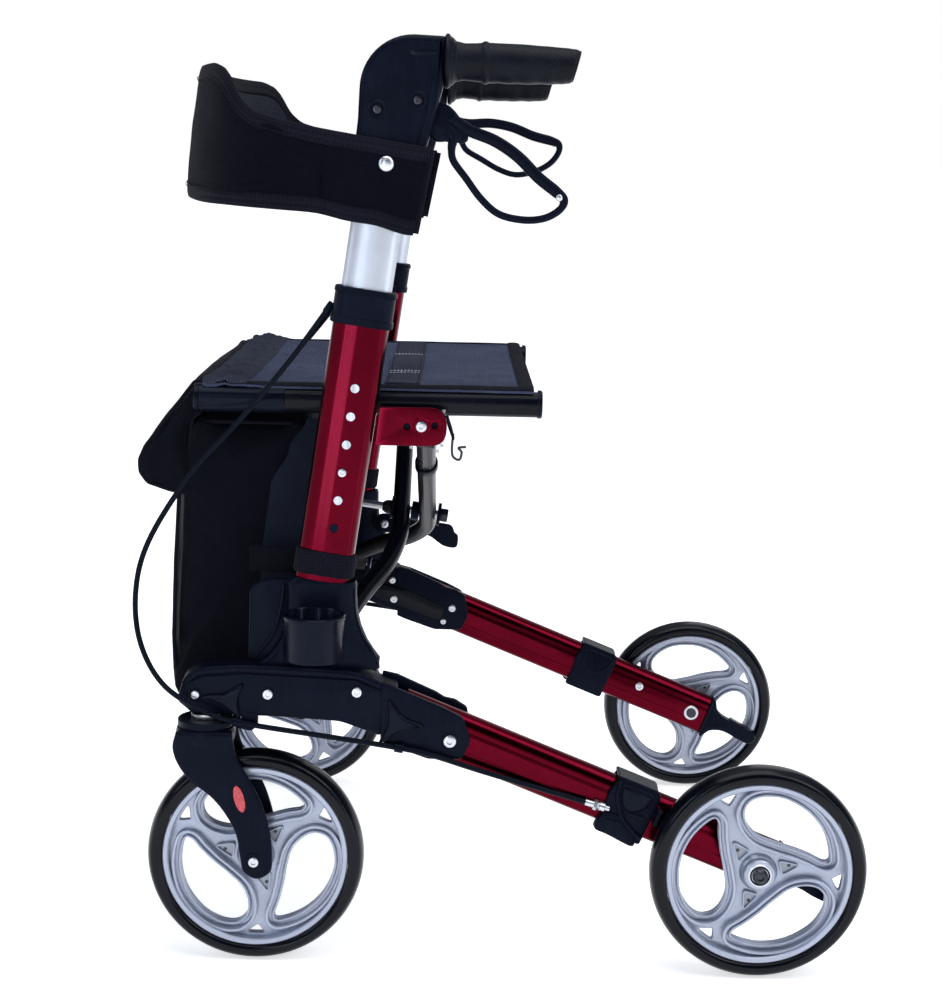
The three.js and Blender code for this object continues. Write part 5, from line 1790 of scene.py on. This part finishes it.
def make_stage():
    floor = bpy.data.meshes.new("floor")
    reach = 300
    corners = [(x * reach, y * reach, -0.0005) for x, y in ((-1, -1), (1, -1), (1, 1), (-1, 1))]
    floor.from_pydata(corners, [], [(0, 1, 2, 3)])
    look = Look("pale_floor", (0.9, 0.9, 0.9), 0.95, Specular_IOR_Level=0.1)
    look.paint(look.noise(0.6, look.place()), 0.995, 1.005)
    rings = look.nodes.new("ShaderNodeTexGradient")
    rings.gradient_type = "SPHERICAL"
    look.links.new(look.place((1 / 2.6, 1 / 2.6, 0)), rings.inputs["Vector"])
    glow = look.ramp(rings.outputs["Fac"], [(0.1, (0.92, 0.92, 0.92)), (0.8, (0.64, 0.64, 0.64))])
    look.links.new(glow, look.shader.inputs["Emission Color"])
    look.shader.inputs["Emission Strength"].default_value = 1
    floor.materials.append(look.material)
    obj = bpy.data.objects.new("floor", floor)
    bpy.context.scene.collection.objects.link(obj)
    make_sky()
    bpy.context.scene.view_settings.view_transform = "Standard"
    make_light("key", (-0.86, -2.65, 1.0), (-0.1, 0, 0.5), (0.16, 2.2), 9.5, (0.75, 0.86, 1))
    make_light("high_right", (2.0, -1.5, 2.5), (0.1, -0.2, 0.2), (1.6, 1.6), 27, (0.95, 0.97, 1))
    make_light("soft_left", (-2.4, -1.0, 1.7), (0, 0, 0.5), (1.0, 1.4), 15, (0.74, 0.85, 1))
    make_light("strip_right", (1.9, -1.7, 1.0), (0, 0, 0.45), (0.16, 1.8), 8, (0.74, 0.85, 1))
    make_light("top", (0.1, -0.5, 3.0), (0, 0, 0), (2.4, 2.4), 46)
    make_light("back", (0.9, 2.2, 1.5), (0, 0, 0.5), (1.0, 1.6), 5)


HORIZON = (0.105, 0.13)  # the sky's height where white starts and ends its change to dim


def make_sky():
    """White up to a little above the horizon and darker higher up, so black parts keep their contrast."""
    sky = bpy.data.worlds.new("studio")
    sky.use_nodes = True
    nodes, links = sky.node_tree.nodes, sky.node_tree.links
    direction = nodes.new("ShaderNodeTexCoord").outputs["Generated"]
    split = nodes.new("ShaderNodeSeparateXYZ")
    links.new(direction, split.inputs["Vector"])
    white, dim = (1, 1, 1), (0.13, 0.145, 0.18)
    by_height = [(HORIZON[0], white), (HORIZON[1], dim), (0.5, dim), (0.85, (0.6, 0.64, 0.72))]
    by_side = [(0.0, (0.14, 0.175, 0.28)), (0.2, white)]
    shift = nodes.new("ShaderNodeMath")
    shift.inputs[1].default_value = 0.12
    links.new(split.outputs["Y"], shift.inputs[0])
    colors = [add_ramp(nodes, links, split.outputs["Z"], by_height),
              add_ramp(nodes, links, shift.outputs["Value"], by_side)]
    mix = nodes.new("ShaderNodeMix")
    mix.data_type, mix.blend_type = "RGBA", "MULTIPLY"
    above = nodes.new("ShaderNodeMapRange")
    for name, height in zip(("From Min", "From Max"), HORIZON):
        above.inputs[name].default_value = height
    links.new(split.outputs["Z"], above.inputs["Value"])
    links.new(above.outputs["Result"], mix.inputs["Factor"])
    for color, name in zip(colors, ("A", "B")):
        links.new(color, next(i for i in mix.inputs if i.name == name and i.type == "RGBA"))
    result = next(o for o in mix.outputs if o.type == "RGBA")
    links.new(result, nodes["Background"].inputs["Color"])
    nodes["Background"].inputs["Strength"].default_value = 1.0
    bpy.context.scene.world = sky


make_camera()
make_stage()
for side in ("left", "right"):
    make_upright(side)
    make_bracket(side)
    make_housing(side)
    make_grip(side)
    make_lever(side)
    make_cable(side)
    make_socket(side)
    make_beam(side)
    make_leg(side)
    make_brake(side)
    make_end_plug(side)
    make_wheel(side, "rear", f"{side}_rear_wheel", 15, 1 if side == "left" else 33)
    make_wheel(side, "caster", f"{side}_caster_wheel", 17, 38 if side == "left" else 60)
    make_rear_axle(side)
    make_fork(side)
    make_rail(side)
make_brace("a", -51, "right", BLACK_METAL)
make_brace("b", -24, "left", GREY_METAL)
make_brace_bolt()
make_latch()
make_seat()
make_backrest()
make_bag()
make_cup()
make_hanging_hook()
